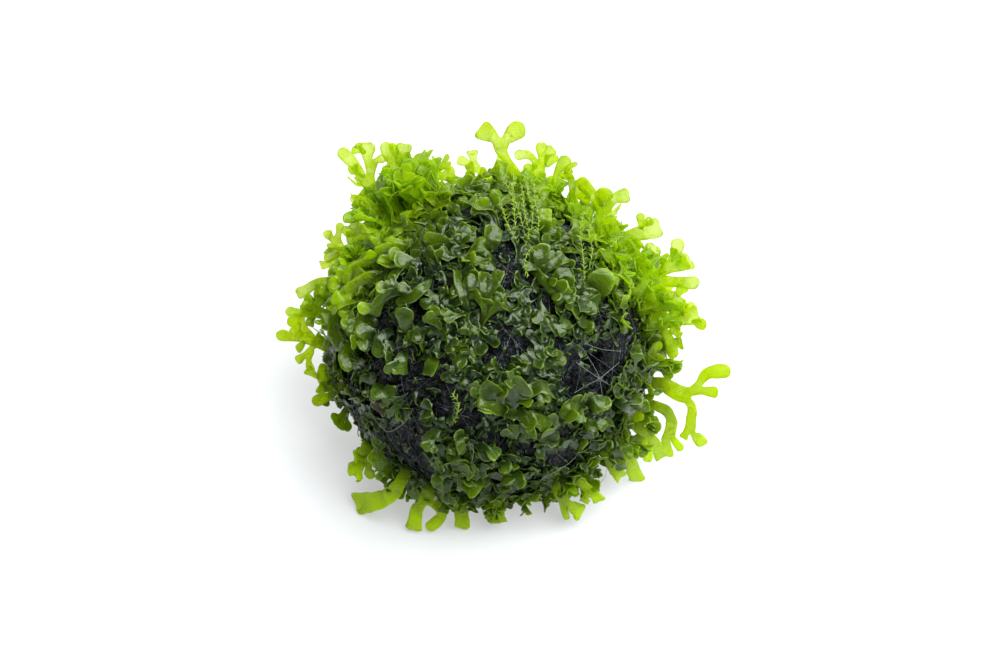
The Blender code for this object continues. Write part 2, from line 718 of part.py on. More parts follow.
def main():
    for old in list(bpy.data.objects):
        bpy.data.objects.remove(old, do_unlink=True)
    dark = material("dark_fibre", NEAR_BLACK, 0.55)
    green = material("green_thallus", GREEN, 0.30)
    bright = material("bright_thallus", BRIGHT_GREEN, 0.30)
    centre = bpy.data.objects.new("ball_centre", None)
    bpy.context.scene.collection.objects.link(centre)
    centre.location = (0, 0, BALL_HEIGHT)

    ball = make_ball(dark, centre)
    shape = bmesh.new()
    shape.from_mesh(ball.data)
    ball_tree = tree_of(indexed(shape))
    shape.free()

    grid = bmesh.new()
    bmesh.ops.create_icosphere(grid, subdivisions=4, radius=1.0)
    indexed(grid)
    seeds = spread_directions(CUSHION_COUNT, 1.0, LOWEST_CUSHION)
    bodies = [indexed(cushion_body(grid, faces)) for faces in cushion_faces(grid, seeds)]
    grid.free()
    pads = [tree_of(b) for b in bodies]
    ground = [ball_tree, *pads]

    # Long fronds, first those that are seen from the front, then those behind
    fronds = []
    for name, tree in FRONDS.items():
        if not plant(name, tree, SEEN_RIBBON, ground, fronds, bright, centre):
            raise RuntimeError(f"there is no clear place for {name}")
    rng = random.Random(5)
    behind = 0
    for direction in spread_directions(BACK_PLACES, *BACK_HEIGHTS):
        if direction.dot(NEARER) < BACK_FACING and behind < BACK_FRONDS:
            sideways = turned_about(direction, rng)
            tree = back_frond(direction, sideways, rng)
            style = {**BACK_RIBBON, "facing": sideways}
            behind += plant(f"frond_back_{behind + 1:02d}", tree, style, ground, fronds, bright, centre)

    # Short thalli, fused to the cushion that they grow from
    standing = [ball_tree, *fronds]
    for k, (body, pad) in enumerate(zip(bodies, pads), 1):
        grown = cushion_thalli(body, [*standing, *(p for p in pads if p is not pad)], rng)
        standing.append(tree_of(indexed(grown)))
        cushion = place(f"cushion_{k:02d}", body, green, centre)
        thalli = place(f"cushion_{k:02d}_thalli", grown, green, centre)
        thalli.hide_render = True
        thalli.display_type = "WIRE"
        fused = cushion.modifiers.new("thalli", "BOOLEAN")
        fused.operation = "UNION"
        fused.object = thalli
        fused.use_self = True


main()
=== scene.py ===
import math
import random

import bmesh
import bpy
from bpy.props import FloatProperty, FloatVectorProperty, IntProperty, PointerProperty
from bpy.types import Operator, Panel, PropertyGroup
from mathutils import Matrix, Vector, noise


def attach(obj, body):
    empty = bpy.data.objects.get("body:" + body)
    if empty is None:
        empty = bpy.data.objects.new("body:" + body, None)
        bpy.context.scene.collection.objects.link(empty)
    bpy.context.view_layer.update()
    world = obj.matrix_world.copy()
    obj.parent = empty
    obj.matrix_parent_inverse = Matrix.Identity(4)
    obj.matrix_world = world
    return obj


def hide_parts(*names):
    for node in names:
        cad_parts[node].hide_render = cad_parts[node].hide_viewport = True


bl_info = {
    "name": "Subwassertang Ball",
    "version": (1, 0, 0),
    "blender": (4, 5, 0),
    "location": "View3D > Sidebar > Subwassertang",
    "description": "A dark fibrous ball overgrown with forked green thalli",
    "category": "Add Mesh",
}

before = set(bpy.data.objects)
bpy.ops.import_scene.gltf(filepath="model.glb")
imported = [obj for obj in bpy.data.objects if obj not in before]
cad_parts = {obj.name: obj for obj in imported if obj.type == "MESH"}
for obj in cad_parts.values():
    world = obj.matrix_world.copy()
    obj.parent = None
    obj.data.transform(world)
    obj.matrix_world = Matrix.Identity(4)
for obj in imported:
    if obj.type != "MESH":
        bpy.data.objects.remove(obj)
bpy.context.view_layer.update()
BODY = "root"

MM = 0.001

# Seeds of the random draws
BALL_SEED, COAT_SEED, FRONT_SEED, FROND_SEED, BACK_SEED, MOSS_SEED = 11, 21, 31, 41, 5, 51

# The ball, as the solids have it: broad lumps, finer grit and the hollow on its right side
BALL_RADIUS = 30.0 * MM
BALL_CENTRE = Vector((0, 0, 28.3 * MM))
FLOOR_LEVEL = -BALL_CENTRE.z
LUMP_HEIGHT, LUMP_SCALE = 0.9 * MM, 2.6
GRIT_HEIGHT, GRIT_SCALE = 0.55 * MM, 7.0
HOLLOW_SIZE = Vector((3.4, 4.2, 7.0)) * MM
HOLLOW_PLACE = (21.0, -4.5)

# The coat of short thalli, one piece for each cushion among the solids
CUSHION_COUNT = 15
CUSHION_DEPTH = 2.2 * MM
LOWEST_CUSHION = -0.80
GROUND_GAP = 0.4 * MM

# The camera looks down on the ball at this tilt
VIEW_TILT = math.radians(45)
UPWARD = Vector((0, math.sin(VIEW_TILT), math.cos(VIEW_TILT)))
NEARER = Vector((0, -math.cos(VIEW_TILT), math.sin(VIEW_TILT)))

# Bare places, as (right, up, radius), where the ball shows
BARE_PLACES = (
    (21.6, -4.8, 5.2), (27.6, 3.4, 3.6), (16.0, -6.0, 2.2), (19.5, -17.0, 2.2), (14.5, -22.5, 2.6),
    (8.0, -20.0, 1.9), (11.0, 8.6, 2.0), (7.0, 13.6, 2.2), (2.0, 13.0, 2.8), (4.5, 0.2, 2.4),
    (5.5, 21.0, 1.4), (0.2, 18.2, 1.5), (-3.0, 22.0, 1.4), (-14.0, 22.0, 1.4), (-12.0, 8.2, 1.8),
    (-20.6, 3.4, 2.0), (-21.0, -3.2, 2.6), (-17.0, -8.2, 2.2), (-10.0, -8.4, 3.0), (-7.2, -12.6, 2.8),
    (-21.4, -12.4, 3.0), (-15.0, -16.4, 3.0), (-19.0, -20.0, 3.6), (-14.0, -23.6, 3.8), (-27.6, -9.0, 3.0),
    (-25.0, -16.4, 4.2), (17.0, 15.4, 1.8), (-2.6, -14.4, 1.8), (-9.4, -26.6, 2.6), (-23.6, -20.0, 3.0),
)

# The mesh is finer this far round a bare place, in millimetres
BARE_MARGIN = 1.5

# Where each part of a swirl is read in the noise
SWIRL_SHIFTS = (Vector((0.4, 0.9, 0.2)), Vector((17.3, 5.1, 9.7)), Vector((3.9, 31.7, 13.3)))

# Bundles of fibre lie between these heights, and each fibre runs through this many points
BUNDLE_HEIGHTS = (0.98, -0.88)
FIBRE_POINTS = 6

# Ribbons: how far apart their rows are and how wide their feet are, by kind
COAT_ROWS, LOW_ROWS, FRONT_ROWS, FROND_ROWS = 1.7 * MM, 1.2 * MM, 1.3 * MM, 1.2 * MM
COAT_FOOT, FRONT_FOOT, FROND_FOOT, LEAFLET_FOOT = 1.2 * MM, 1.4 * MM, 1.7 * MM, 0.9 * MM

# Ribbons: how deep a foot reaches into the ball, the waves in a millimetre of margin, and the crumple
FOOT_DEPTH = 0.5 * MM
WAVES = (1.5, 2.6)
CRUMPLE_SCALE, CRUMPLE_HEIGHT = 460, 6.5 * MM

# Tips: the share of them that are notched, how wide they end, and how far a notch goes in and a lobe out
NOTCHED_SHARE, BLUNTNESS = 0.45, (0.34, 0.72)
NOTCH, BULGE = -0.22, 0.10

# Short thalli: how far branches spread, how much a blade rolls, and how much the slope changes at a fork
BRANCH_SPREAD, BLADE_ROLL = (24, 46), 24
BRANCH_SLOPE = (-14, 22)

# Small lobes on a margin: from one to the next, from the thallus's foot to the first, how many are left out
LEAFLET_PITCH = 2.2 * MM
LEAFLET_CLEARANCE = 2.5 * MM
LEAFLETS_MISSING = 0.45

# Colours of light that comes through a thallus
GREEN_LIGHT = (0.66, 0.88, 0.015)
YELLOW_LIGHT = (0.76, 0.91, 0.01)
BROWN_LIGHT = (0.5, 0.3, 0.06)

# How each kind of thallus looks: how young it is from its foot on, which also sets how much brighter the long
# fronds low down are painted, how much light it lets through when old and when young, how clear and how
# glossy it is, between which distances off the ball, in millimetres, it turns young, and the colour of the
# light
THALLUS_LOOKS = {
    "short_thallus": (0.0, (0.22, 0.66), 0.45, 1.0, (0.5, 6.0), GREEN_LIGHT),
    "front_thallus": (0.0, (0.20, 0.55), 0.0, 1.0, (0.5, 7.0), GREEN_LIGHT),
    "old_thallus": (0.0, (0.10, 0.25), 0.0, 0.2, (0.5, 6.0), BROWN_LIGHT),
    "long_frond": (0.30, (0.50, 0.80), 0.85, 0.45, (1.0, 8.0), YELLOW_LIGHT),
}

# Heights in the picture between which the upper side begins, the front gets wet and the low part, where the
# long fronds are painted brighter, begins
UPPER_SIDE = (-4.0 * MM, 16.0 * MM)
WET_SIDE = (-34.0 * MM, -10.0 * MM)
LOW_SIDE = (-13.0 * MM, -22.0 * MM)

# The crest, the upper outline as seen, is painted with a glow of backlight: it begins between these distances
# from the line of sight, and fades to this share in the middle
PAINTED_GLOW_CREST = (22.0 * MM, 32.0 * MM)
SHOULDER, CREST_MIDDLE = 18.0 * MM, 0.2

# Colours on a thallus: the painted glow along the margin, flecks, the painted shade in folds, the painted
# glow of the long fronds low down, the sheen, what a thin sheet lets straight through, and the three tones of
# the old, brown thallus
MARGIN_GLOW_COLOUR = (0.30, 0.48, 0.06)
FLECK_COLOUR = (0.006, 0.014, 0.002)
FOLD_SHADE_COLOUR = (0.03, 0.05, 0.002)
LOW_GLOW_COLOUR = (0.55, 0.80, 0.010)
SHEEN = (0.70, 1.0, 0.50, 1.0)
CLEAR_TINT = (0.88, 0.93, 0.60, 1.0)
BROWNS = ((0.012, 0.008, 0.002), (0.045, 0.026, 0.006), (0.09, 0.055, 0.012))

# The flakes of the ball's surface
FLAKE_SIZE = 1.3 * MM
FLAKE_TILT = 1.8 / MM

# Colours of the threads and the moss
NYLON, PALE_NYLON = (0.12, 0.14, 0.13), (0.24, 0.27, 0.25)
MOSS_GREEN, THREAD_GREY = (0.25, 0.42, 0.015), (0.20, 0.24, 0.13)

# The net's threads: lowest latitude, span and twist, points in each, and how far they stand off the ball
NET_LOWEST, NET_SPAN, NET_TWIST = -58, 134, 0.62
NET_POINTS = 64
NET_GAP = 0.7 * MM

# The moss and the loose threads
MOSS_SPACING, THREAD_SPACING = 0.36 * MM, 0.8 * MM
MOSS_STEM, LOOSE_THREAD = 0.09 * MM, 0.08 * MM
LEAFLET_BASE, LEAFLET_TIP, LEAFLET_FLATNESS = 0.17 * MM, 0.03 * MM, 0.35

# The floor, the lights and the view, with sizes and places in metres
FLOOR_SIZE = 2.0
FLOOR_DROP = 0.05 * MM
FLOOR_TONES = ((0.455, 0.478, 0.485), (0.445, 0.468, 0.475))
WHITE = (1.0, 1.0, 1.0, 1.0)
SKY_COLOUR = (0.86, 0.93, 1.0, 1.0)
KEY_SIZE, KEY_PLACE = (1.00, 0.90), (0.32, -0.22, 0.85)
BACK_SIZE, BACK_PLACE = (0.8, 0.4), (0.15, 0.80, 0.60)
SENSOR_WIDTH = 36.0
VIEW_WIDTH = 200.0 * MM
VIEW_MIDDLE = (2.0, 2.4)

# Long fronds behind: the places that are tried, by height and by how far they face away
BACK_FRONDS = 10
BACK_PLACES = 40
BACK_HEIGHTS = (0.92, -0.58)
BACK_FACING = -0.25
BACK_FOOT = 3.0 * MM
BACK_DROOP = Vector((0, 0, -0.14))
BACK_WIDTHS = ((1.6, 2.0), (2.1, 2.5), (2.5, 3.0))
BACK_SPREADS = ((0, 0), (35, 40), (42, 48))


class BallSettings(PropertyGroup):
    """The dark ball under the thalli."""

    lumps: FloatProperty(
        name="Clumps", description="Height of the fibre clumps on the ball",
        default=0.9 * MM, min=0.0, subtype="DISTANCE", unit="LENGTH",
    )
    bundles: IntProperty(
        name="Bundles", description="How many bundles of matted fibre lie on the ball", default=420, min=0,
    )
    fibres: IntProperty(
        name="Fibres", description="How many fibres lie side by side in a bundle", default=4, min=1,
    )
    fibre_radius: FloatProperty(
        name="Fibre Radius", description="Radius of the thickest fibre",
        default=0.26 * MM, min=0.01 * MM, subtype="DISTANCE", unit="LENGTH",
    )
    dark: FloatVectorProperty(
        name="Dark", description="Colour of the wet fibre in its gaps", default=(0.003, 0.0045, 0.005),
        min=0.0, max=1.0, subtype="COLOR",
    )
    # pale is also painted onto the ball's ridge tops and some flakes as painted glints
    pale: FloatVectorProperty(
        name="Pale", description="Colour of the palest fibre", default=(0.105, 0.115, 0.145),
        min=0.0, max=1.0, subtype="COLOR",
    )


class ThalliSettings(PropertyGroup):
    """The short thalli and the long fronds."""

    old_count: IntProperty(
        name="Old Thalli", description="How many small, dark thalli lie on the ball", default=800, min=0,
    )
    crumb_count: IntProperty(
        name="Crumbs", description="How many torn scraps of thallus lie on the ball", default=900, min=0,
    )
    low_count: IntProperty(
        name="Creeping Thalli", description="How many thalli creep over the ball", default=1250, min=0,
    )
    high_count: IntProperty(
        name="Standing Thalli", description="How many thalli stand off the ball", default=300, min=0,
    )
    lobe_width: FloatProperty(
        name="Lobe Width", description="Width of a thallus at its lobes",
        default=2.35 * MM, min=0.5 * MM, subtype="DISTANCE", unit="LENGTH",
    )
    lobe_length: FloatProperty(
        name="Lobe Length", description="Length of a thallus from one fork to the next",
        default=2.9 * MM, min=0.5 * MM, subtype="DISTANCE", unit="LENGTH",
    )
    thickness: FloatProperty(
        name="Thickness", description="Thickness of a thallus",
        default=0.13 * MM, min=0.05 * MM, subtype="DISTANCE", unit="LENGTH",
    )
    ruffle: FloatProperty(
        name="Ruffle", description="Height of the waves along a margin, as a share of the width",
        default=0.15, min=0.0, max=0.5, subtype="FACTOR",
    )
    old_colour: FloatVectorProperty(
        name="Old Colour", description="Colour near the ball", default=(0.004, 0.014, 0.006),
        min=0.0, max=1.0, subtype="COLOR",
    )
    mid_colour: FloatVectorProperty(
        name="Middle Colour", description="Colour halfway out", default=(0.062, 0.108, 0.002),
        min=0.0, max=1.0, subtype="COLOR",
    )
    young_colour: FloatVectorProperty(
        name="Young Colour", description="Colour at the tips", default=(0.34, 0.49, 0.005),
        min=0.0, max=1.0, subtype="COLOR",
    )


class ThreadSettings(PropertyGroup):
    """The net, the moss and the loose threads."""

    net_radius: FloatProperty(
        name="Net Thread", description="Radius of the net's thread",
        default=0.03 * MM, min=0.01 * MM, subtype="DISTANCE", unit="LENGTH",
    )
    net_threads: IntProperty(
        name="Net Threads", description="How many threads run round the ball each way", default=16, min=3,
    )
    leaflet: FloatProperty(
        name="Leaflet", description="Length of a moss leaflet",
        default=0.9 * MM, min=0.1 * MM, subtype="DISTANCE", unit="LENGTH",
    )


class StageSettings(PropertyGroup):
    """The floor, the lights and the camera."""

    key_power: FloatProperty(
        name="Key", description="Power of the large soft light overhead", default=21.0, min=0.0,
        subtype="POWER", unit="POWER",
    )
    back_power: FloatProperty(
        name="Back", description="Power of the soft light behind", default=7.0, min=0.0,
        subtype="POWER", unit="POWER",
    )
    surround: FloatProperty(
        name="Surround", description="Brightness of the surroundings", default=0.05, min=0.0,
    )
    floor_glow: FloatProperty(
        name="Floor Glow", description="How brightly the floor is lit from below", default=0.45, min=0.0,
    )
    distance: FloatProperty(
        name="Camera Distance", description="From the ball's centre to the camera",
        default=1.5, min=0.1, subtype="DISTANCE", unit="LENGTH",
    )


def settings():
    return bpy.context.scene.subwassertang_ball


def seen(right, up, near=0.0):
    """The point this many millimetres right of, above and in front of the ball's centre."""
    return (Vector((right, 0, 0)) + UPWARD * up + NEARER * near) * MM


def on_ball_seen(right, up):
    """The direction from the ball's centre to a place on its front."""
    near = math.sqrt(max(0.0, (BALL_RADIUS / MM) ** 2 - right**2 - up**2))
    return seen(right, up, near).normalized()


def over(right, up, height):
    """The point that stands this many millimetres off the front of the ball, seen at (right, up)."""
    reach = BALL_RADIUS / MM + height
    near = math.sqrt(max(0.0, reach**2 - right**2 - up**2))
    return seen(right, up, near)


def ball_surface(direction):
    """How far the rough ball reaches from its centre in this direction."""
    lump = noise.noise(direction * LUMP_SCALE)
    grit = noise.noise(direction * GRIT_SCALE + Vector((7, 3, 1)))
    return BALL_RADIUS + LUMP_HEIGHT * lump + GRIT_HEIGHT * grit


def spread_directions(count, highest, lowest):
    """Directions spread evenly over the ball between two heights."""
    golden = math.pi * (3 - math.sqrt(5))
    directions = []
    for k in range(count):
        z = highest + (lowest - highest) * (k + 0.5) / count
        level = math.sqrt(1 - z * z)
        directions.append(Vector((level * math.cos(golden * k), level * math.sin(golden * k), z)))
    return directions


def turned_about(axis, rng):
    """A direction square to this axis, at a random turn."""
    return Matrix.Rotation(rng.uniform(0, 2 * math.pi), 3, axis) @ axis.orthogonal().normalized()


def turned_side(forward, facing, roll):
    """The direction of a ribbon's width: square to its run, and turned about it by roll."""
    side = forward.cross(facing)
    if side.length < 1e-6:
        side = forward.orthogonal()
    return Matrix.Rotation(roll, 3, forward) @ side.normalized()


def rows_along(places, spacing):
    """Points about this far apart along a smooth curve through places, the first and last among them."""
    ends = [2 * places[0] - places[1], *places, 2 * places[-1] - places[-2]]
    rows = [places[0]]
    for before, start, stop, after in zip(ends, ends[1:], ends[2:], ends[3:]):
        count = max(1, round((stop - start).length / spacing))
        for k in range(1, count + 1):
            t = k / count
            bend = (2 * before - 5 * start + 4 * stop - after) * t * t
            twist = (3 * start - before - 3 * stop + after) * t**3
            rows.append(start + ((stop - before) * t + bend + twist) / 2)
    return rows


def stem(*points, wide, roll=0.0, forks=(), facing=NEARER):
    """A stretch of ribbon, this many millimetres wide, and the stretches that it forks into at its end."""
    return {
        "points": list(points), "wide": wide * MM, "roll": math.radians(roll), "forks": forks,
        "facing": facing,
    }


def thallus(row, place):
    """The thallus that a row of a table gives, with each of its points put in place by this function."""
    width, *roll = (part for part in row if isinstance(part, (int, float)))
    points = [place(*part) for part in row if isinstance(part, tuple)]
    forks = [thallus(part, place) for part in row if isinstance(part, list)]
    return stem(*points, wide=width, roll=sum(roll), forks=forks)


# The long fronds, each from its foot in the cushions to its tips. A row is a stretch of ribbon: its width in
# millimetres, its roll in degrees, if any, its points as seen(), and a row for each stretch it forks into.
FRONDS = {
    "frond_crown": [2.6, (6.5, 30.0, -3), (4.8, 34.4, -3), (3.2, 36.6, -2.5),
        [1.7, (0.6, 35.9, -0.5)],
        [3.4, (2.3, 38.6, -2), (2.2, 40.6, -1.5),
            [3.2, (-0.2, 42.2, -0.5), (-2.6, 43.4, 0.8)], [3.4, (4.4, 42.2, -1.5), (7.0, 43.8, -0.4)]]],
    "frond_crown_right": [2.8, (9.4, 30.0, -5), (9.6, 34.0, -5), (9.8, 36.4, -4.5),
        [1.9, (7.6, 38.2, -4), (4.9, 38.0, -4.5)],
        [2.8, (10.8, 38.3, -4.5), [2.2, (10.3, 40.6, -4.4)], [2.0, (12.9, 39.6, -4.6)]]],
    "frond_crown_edge": [2.4, (13.0, 29.4, -2), (13.6, 33.8, -2),
        [2.4, (15.6, 37.9, -3.5)], [1.6, 40, (16.2, 33.4, 2.5), (16.8, 27.6, 9.0)]],
    "frond_side_arm": [2.3, (15.0, 26.6, -1), (17.0, 30.4, -2), (20.4, 31.2, -3)],
    "frond_shoulder": [2.6, (21.2, 20.8, 8), (22.2, 24.6, 9.5),
        [1.8, (25.2, 24.6, 10.5)],
        [3.0, (22.6, 27.0, 7.5),
            [2.2, (20.6, 29.4, 8.8), (17.8, 33.2, 9.4)], [2.5, (24.6, 29.2, 6.5), (28.0, 29.9, 6)]]],
    "frond_horn": [2.8, (24.0, 19.8, 2), (27.0, 21.4, 1),
        [3.4, (30.4, 22.4, 0.5), (34.4, 23.8, 0)], [2.2, (28.6, 18.8, 1.5), (30.8, 15.6, 2)]],
    "frond_ruffle": [3.4, (28.0, 9.5, 6), (31.4, 12.8, 5.5), (33.6, 13.6, 5),
        [3.0, (36.2, 15.8, 4.5), [2.6, (37.3, 19.0, 4), (37.2, 21.2, 4.6)], [3.2, (40.2, 17.2, 3)]],
        [2.4, (37.4, 12.6, 5.2), (41.6, 12.3, 4)]],
    "frond_ruffle_loop": [3.0, (28.4, 14.0, 0), (31.6, 17.4, -1), (33.2, 20.2, -1)],
    "frond_lobe": [2.8, (29.6, 6.8, 5), (33.0, 8.6, 5),
        [2.8, (35.6, 10.6, 6.8)], [3.0, (35.6, 7.6, 4.5), (38.8, 8.6, 4)]],
    "frond_arm": [2.7, (29.6, 2.4, 6), (32.4, 4.0, 6), (34.4, 4.0, 5.5),
        [3.2, (38.4, 5.2, 4.5), (42.0, 6.3, 4)], [2.2, (35.8, 1.0, 5), (36.6, -2.6, 4.5)]],
    "frond_bunch": [2.4, (30.4, -2.4, 5), (32.6, -1.6, 5), [2.0, (34.0, 0.6, 4.5)], [2.2, (34.0, -3.8, 5.2)]],
    "frond_reach": [3.6, (30.6, -7.6, 0), (34.4, -7.6, -3), (37.2, -9.4, -4), (39.6, -10.2, -4.5),
        [2.6, (42.0, -8.6, -5), [2.8, (43.8, -5.6, -5), (48.2, -5.2, -5)], [2.0, (45.8, -9.6, -5.5)]],
        [2.6, 20, (40.6, -13.0, -7), (40.2, -17.4, -11),
            [1.6, (38.8, -19.0, -12.5)], [2.2, (43.2, -20.2, -15)]]],
    "frond_leg": [2.6, (30.8, -11.4, 3.4), (34.8, -12.8, 1.4), (36.4, -15.4, -3.5), (35.9, -18.6, -8.5),
        [1.8, (36.2, -22.6, -14.5)], [1.5, (38.6, -21.2, -9.4)]],
    "frond_low_right": [2.4, (28.0, -15.6, 4), (32.2, -18.6, -3), (34.8, -23.0, -11)],
    "frond_heel_right": [2.8, (25.0, -18.6, 6), (27.4, -21.8, 0), (29.8, -27.6, -10.5)],
    "frond_toe_right": [2.3, (22.8, -21.2, 7), (24.4, -24.0, 2), (26.4, -26.8, -3)],
    "frond_hem_right": [2.2, (17.4, -26.6, 9), (19.8, -29.0, 5),
        [2.2, (21.8, -31.2, 1.5)], [1.8, (18.6, -31.6, 2.4)]],
    "frond_hem_front": [2.4, (13.4, -29.0, 8), (15.2, -31.8, 4),
        [3.0, (18.6, -33.8, -1)], [1.2, (15.4, -34.8, -1.5)]],
    "frond_toe_front": [2.0, (1.4, -30.4, 8), (1.4, -33.0, 3.5),
        [2.0, (-0.4, -35.2, -0.6)], [1.7, (2.6, -35.6, -1)]],
    "frond_leg_front": [2.7, (-8.4, -28.6, 8), (-6.2, -31.6, 3.5), (-5.4, -36.6, -2)],
    "frond_loop_front": [3.6, (-11.8, -28.2, 8), (-12.6, -31.0, 4.5),
        [2.8, (-14.8, -33.4, 1.8), (-15.4, -37.4, -1.2)],
        [2.2, (-9.8, -32.6, 3.0), (-9.8, -34.6, 1.0), (-12.4, -36.8, -1.2)]],
    "frond_foot_left": [4.0, (-17.2, -26.2, 8), (-20.2, -30.2, 3), (-26.8, -32.2, -6.5)],
    "frond_heel_left": [2.8, (-22.6, -21.8, 5), (-24.6, -23.6, 3),
        [2.6, (-28.2, -25.4, 0)], [2.0, (-24.0, -27.0, -0.5)]],
    "frond_left_low": [2.8, (-29.4, -8.4, 5), (-32.0, -9.6, 4),
        [2.2, (-35.4, -11.4, 2)], [1.7, (-33.6, -6.8, 4.4), (-33.0, -3.8, 5.6)]],
    "frond_left_tip": [2.4, (-31.2, -1.0, -2), (-35.4, 0.9, -4), (-38.6, 1.8, -5),
        [2.1, (-42.8, 2.2, -6)], [1.7, (-38.8, 4.8, -4.2)]],
    "frond_left_mid": [2.4, (-30.4, 5.6, 3), (-34.4, 6.6, 1.5),
        [2.0, (-37.4, 8.8, 0.5)], [1.7, (-40.8, 6.8, 0)]],
    "frond_left_wing": [1.9, 25, (-29.6, 12.0, 2), (-33.8, 12.6, 0), (-38.8, 10.0, -1.5)],
    "frond_left_upper": [2.0, 20, (-26.6, 17.6, 3), (-29.4, 18.8, 2), (-33.2, 17.2, 0)],
    "frond_left_shoulder": [2.6, (-23.6, 21.0, 3), (-26.0, 22.2, 3),
        [2.4, (-28.8, 21.2, 2.6)], [2.0, (-27.4, 24.4, 1.8)]],
    "frond_horn_left": [3.0, (-19.4, 24.6, -5), (-22.8, 29.0, -5.5), (-24.6, 33.4, -5),
        [2.4, (-27.4, 36.4, -4.4), (-30.2, 39.2, -3.6)],
        [2.8, (-23.8, 36.6, -5.5), [2.8, (-24.7, 40.8, -5.4)], [1.6, (-21.0, 37.7, -4.2)]]],
    "frond_fork_left": [2.9, (-15.0, 27.6, -3), (-17.6, 31.0, -3), (-18.6, 35.4, -2.5),
        [2.4, (-21.2, 40.6, -2)], [2.8, (-17.0, 40.6, -2)]],
    "frond_crest_left": [3.0, (-11.0, 29.4, -4), (-12.8, 32.6, -4),
        [2.0, (-15.4, 35.6, -4.6)],
        [2.6, (-10.4, 34.2, -4), [2.4, (-11.4, 37.0, -4)], [2.8, (-6.8, 34.4, -4)]]],
    "frond_leaflet_left": [1.6, (-21.4, 25.6, 1), (-24.4, 28.2, 0), (-27.9, 29.5, -0.5)],
    "frond_crest_mid": [2.4, (-2.4, 30.4, 1), (-2.8, 33.2, 0.5),
        [1.8, (-4.6, 34.9, 0.8)], [2.0, (-0.4, 35.0, 0.2)]],
}

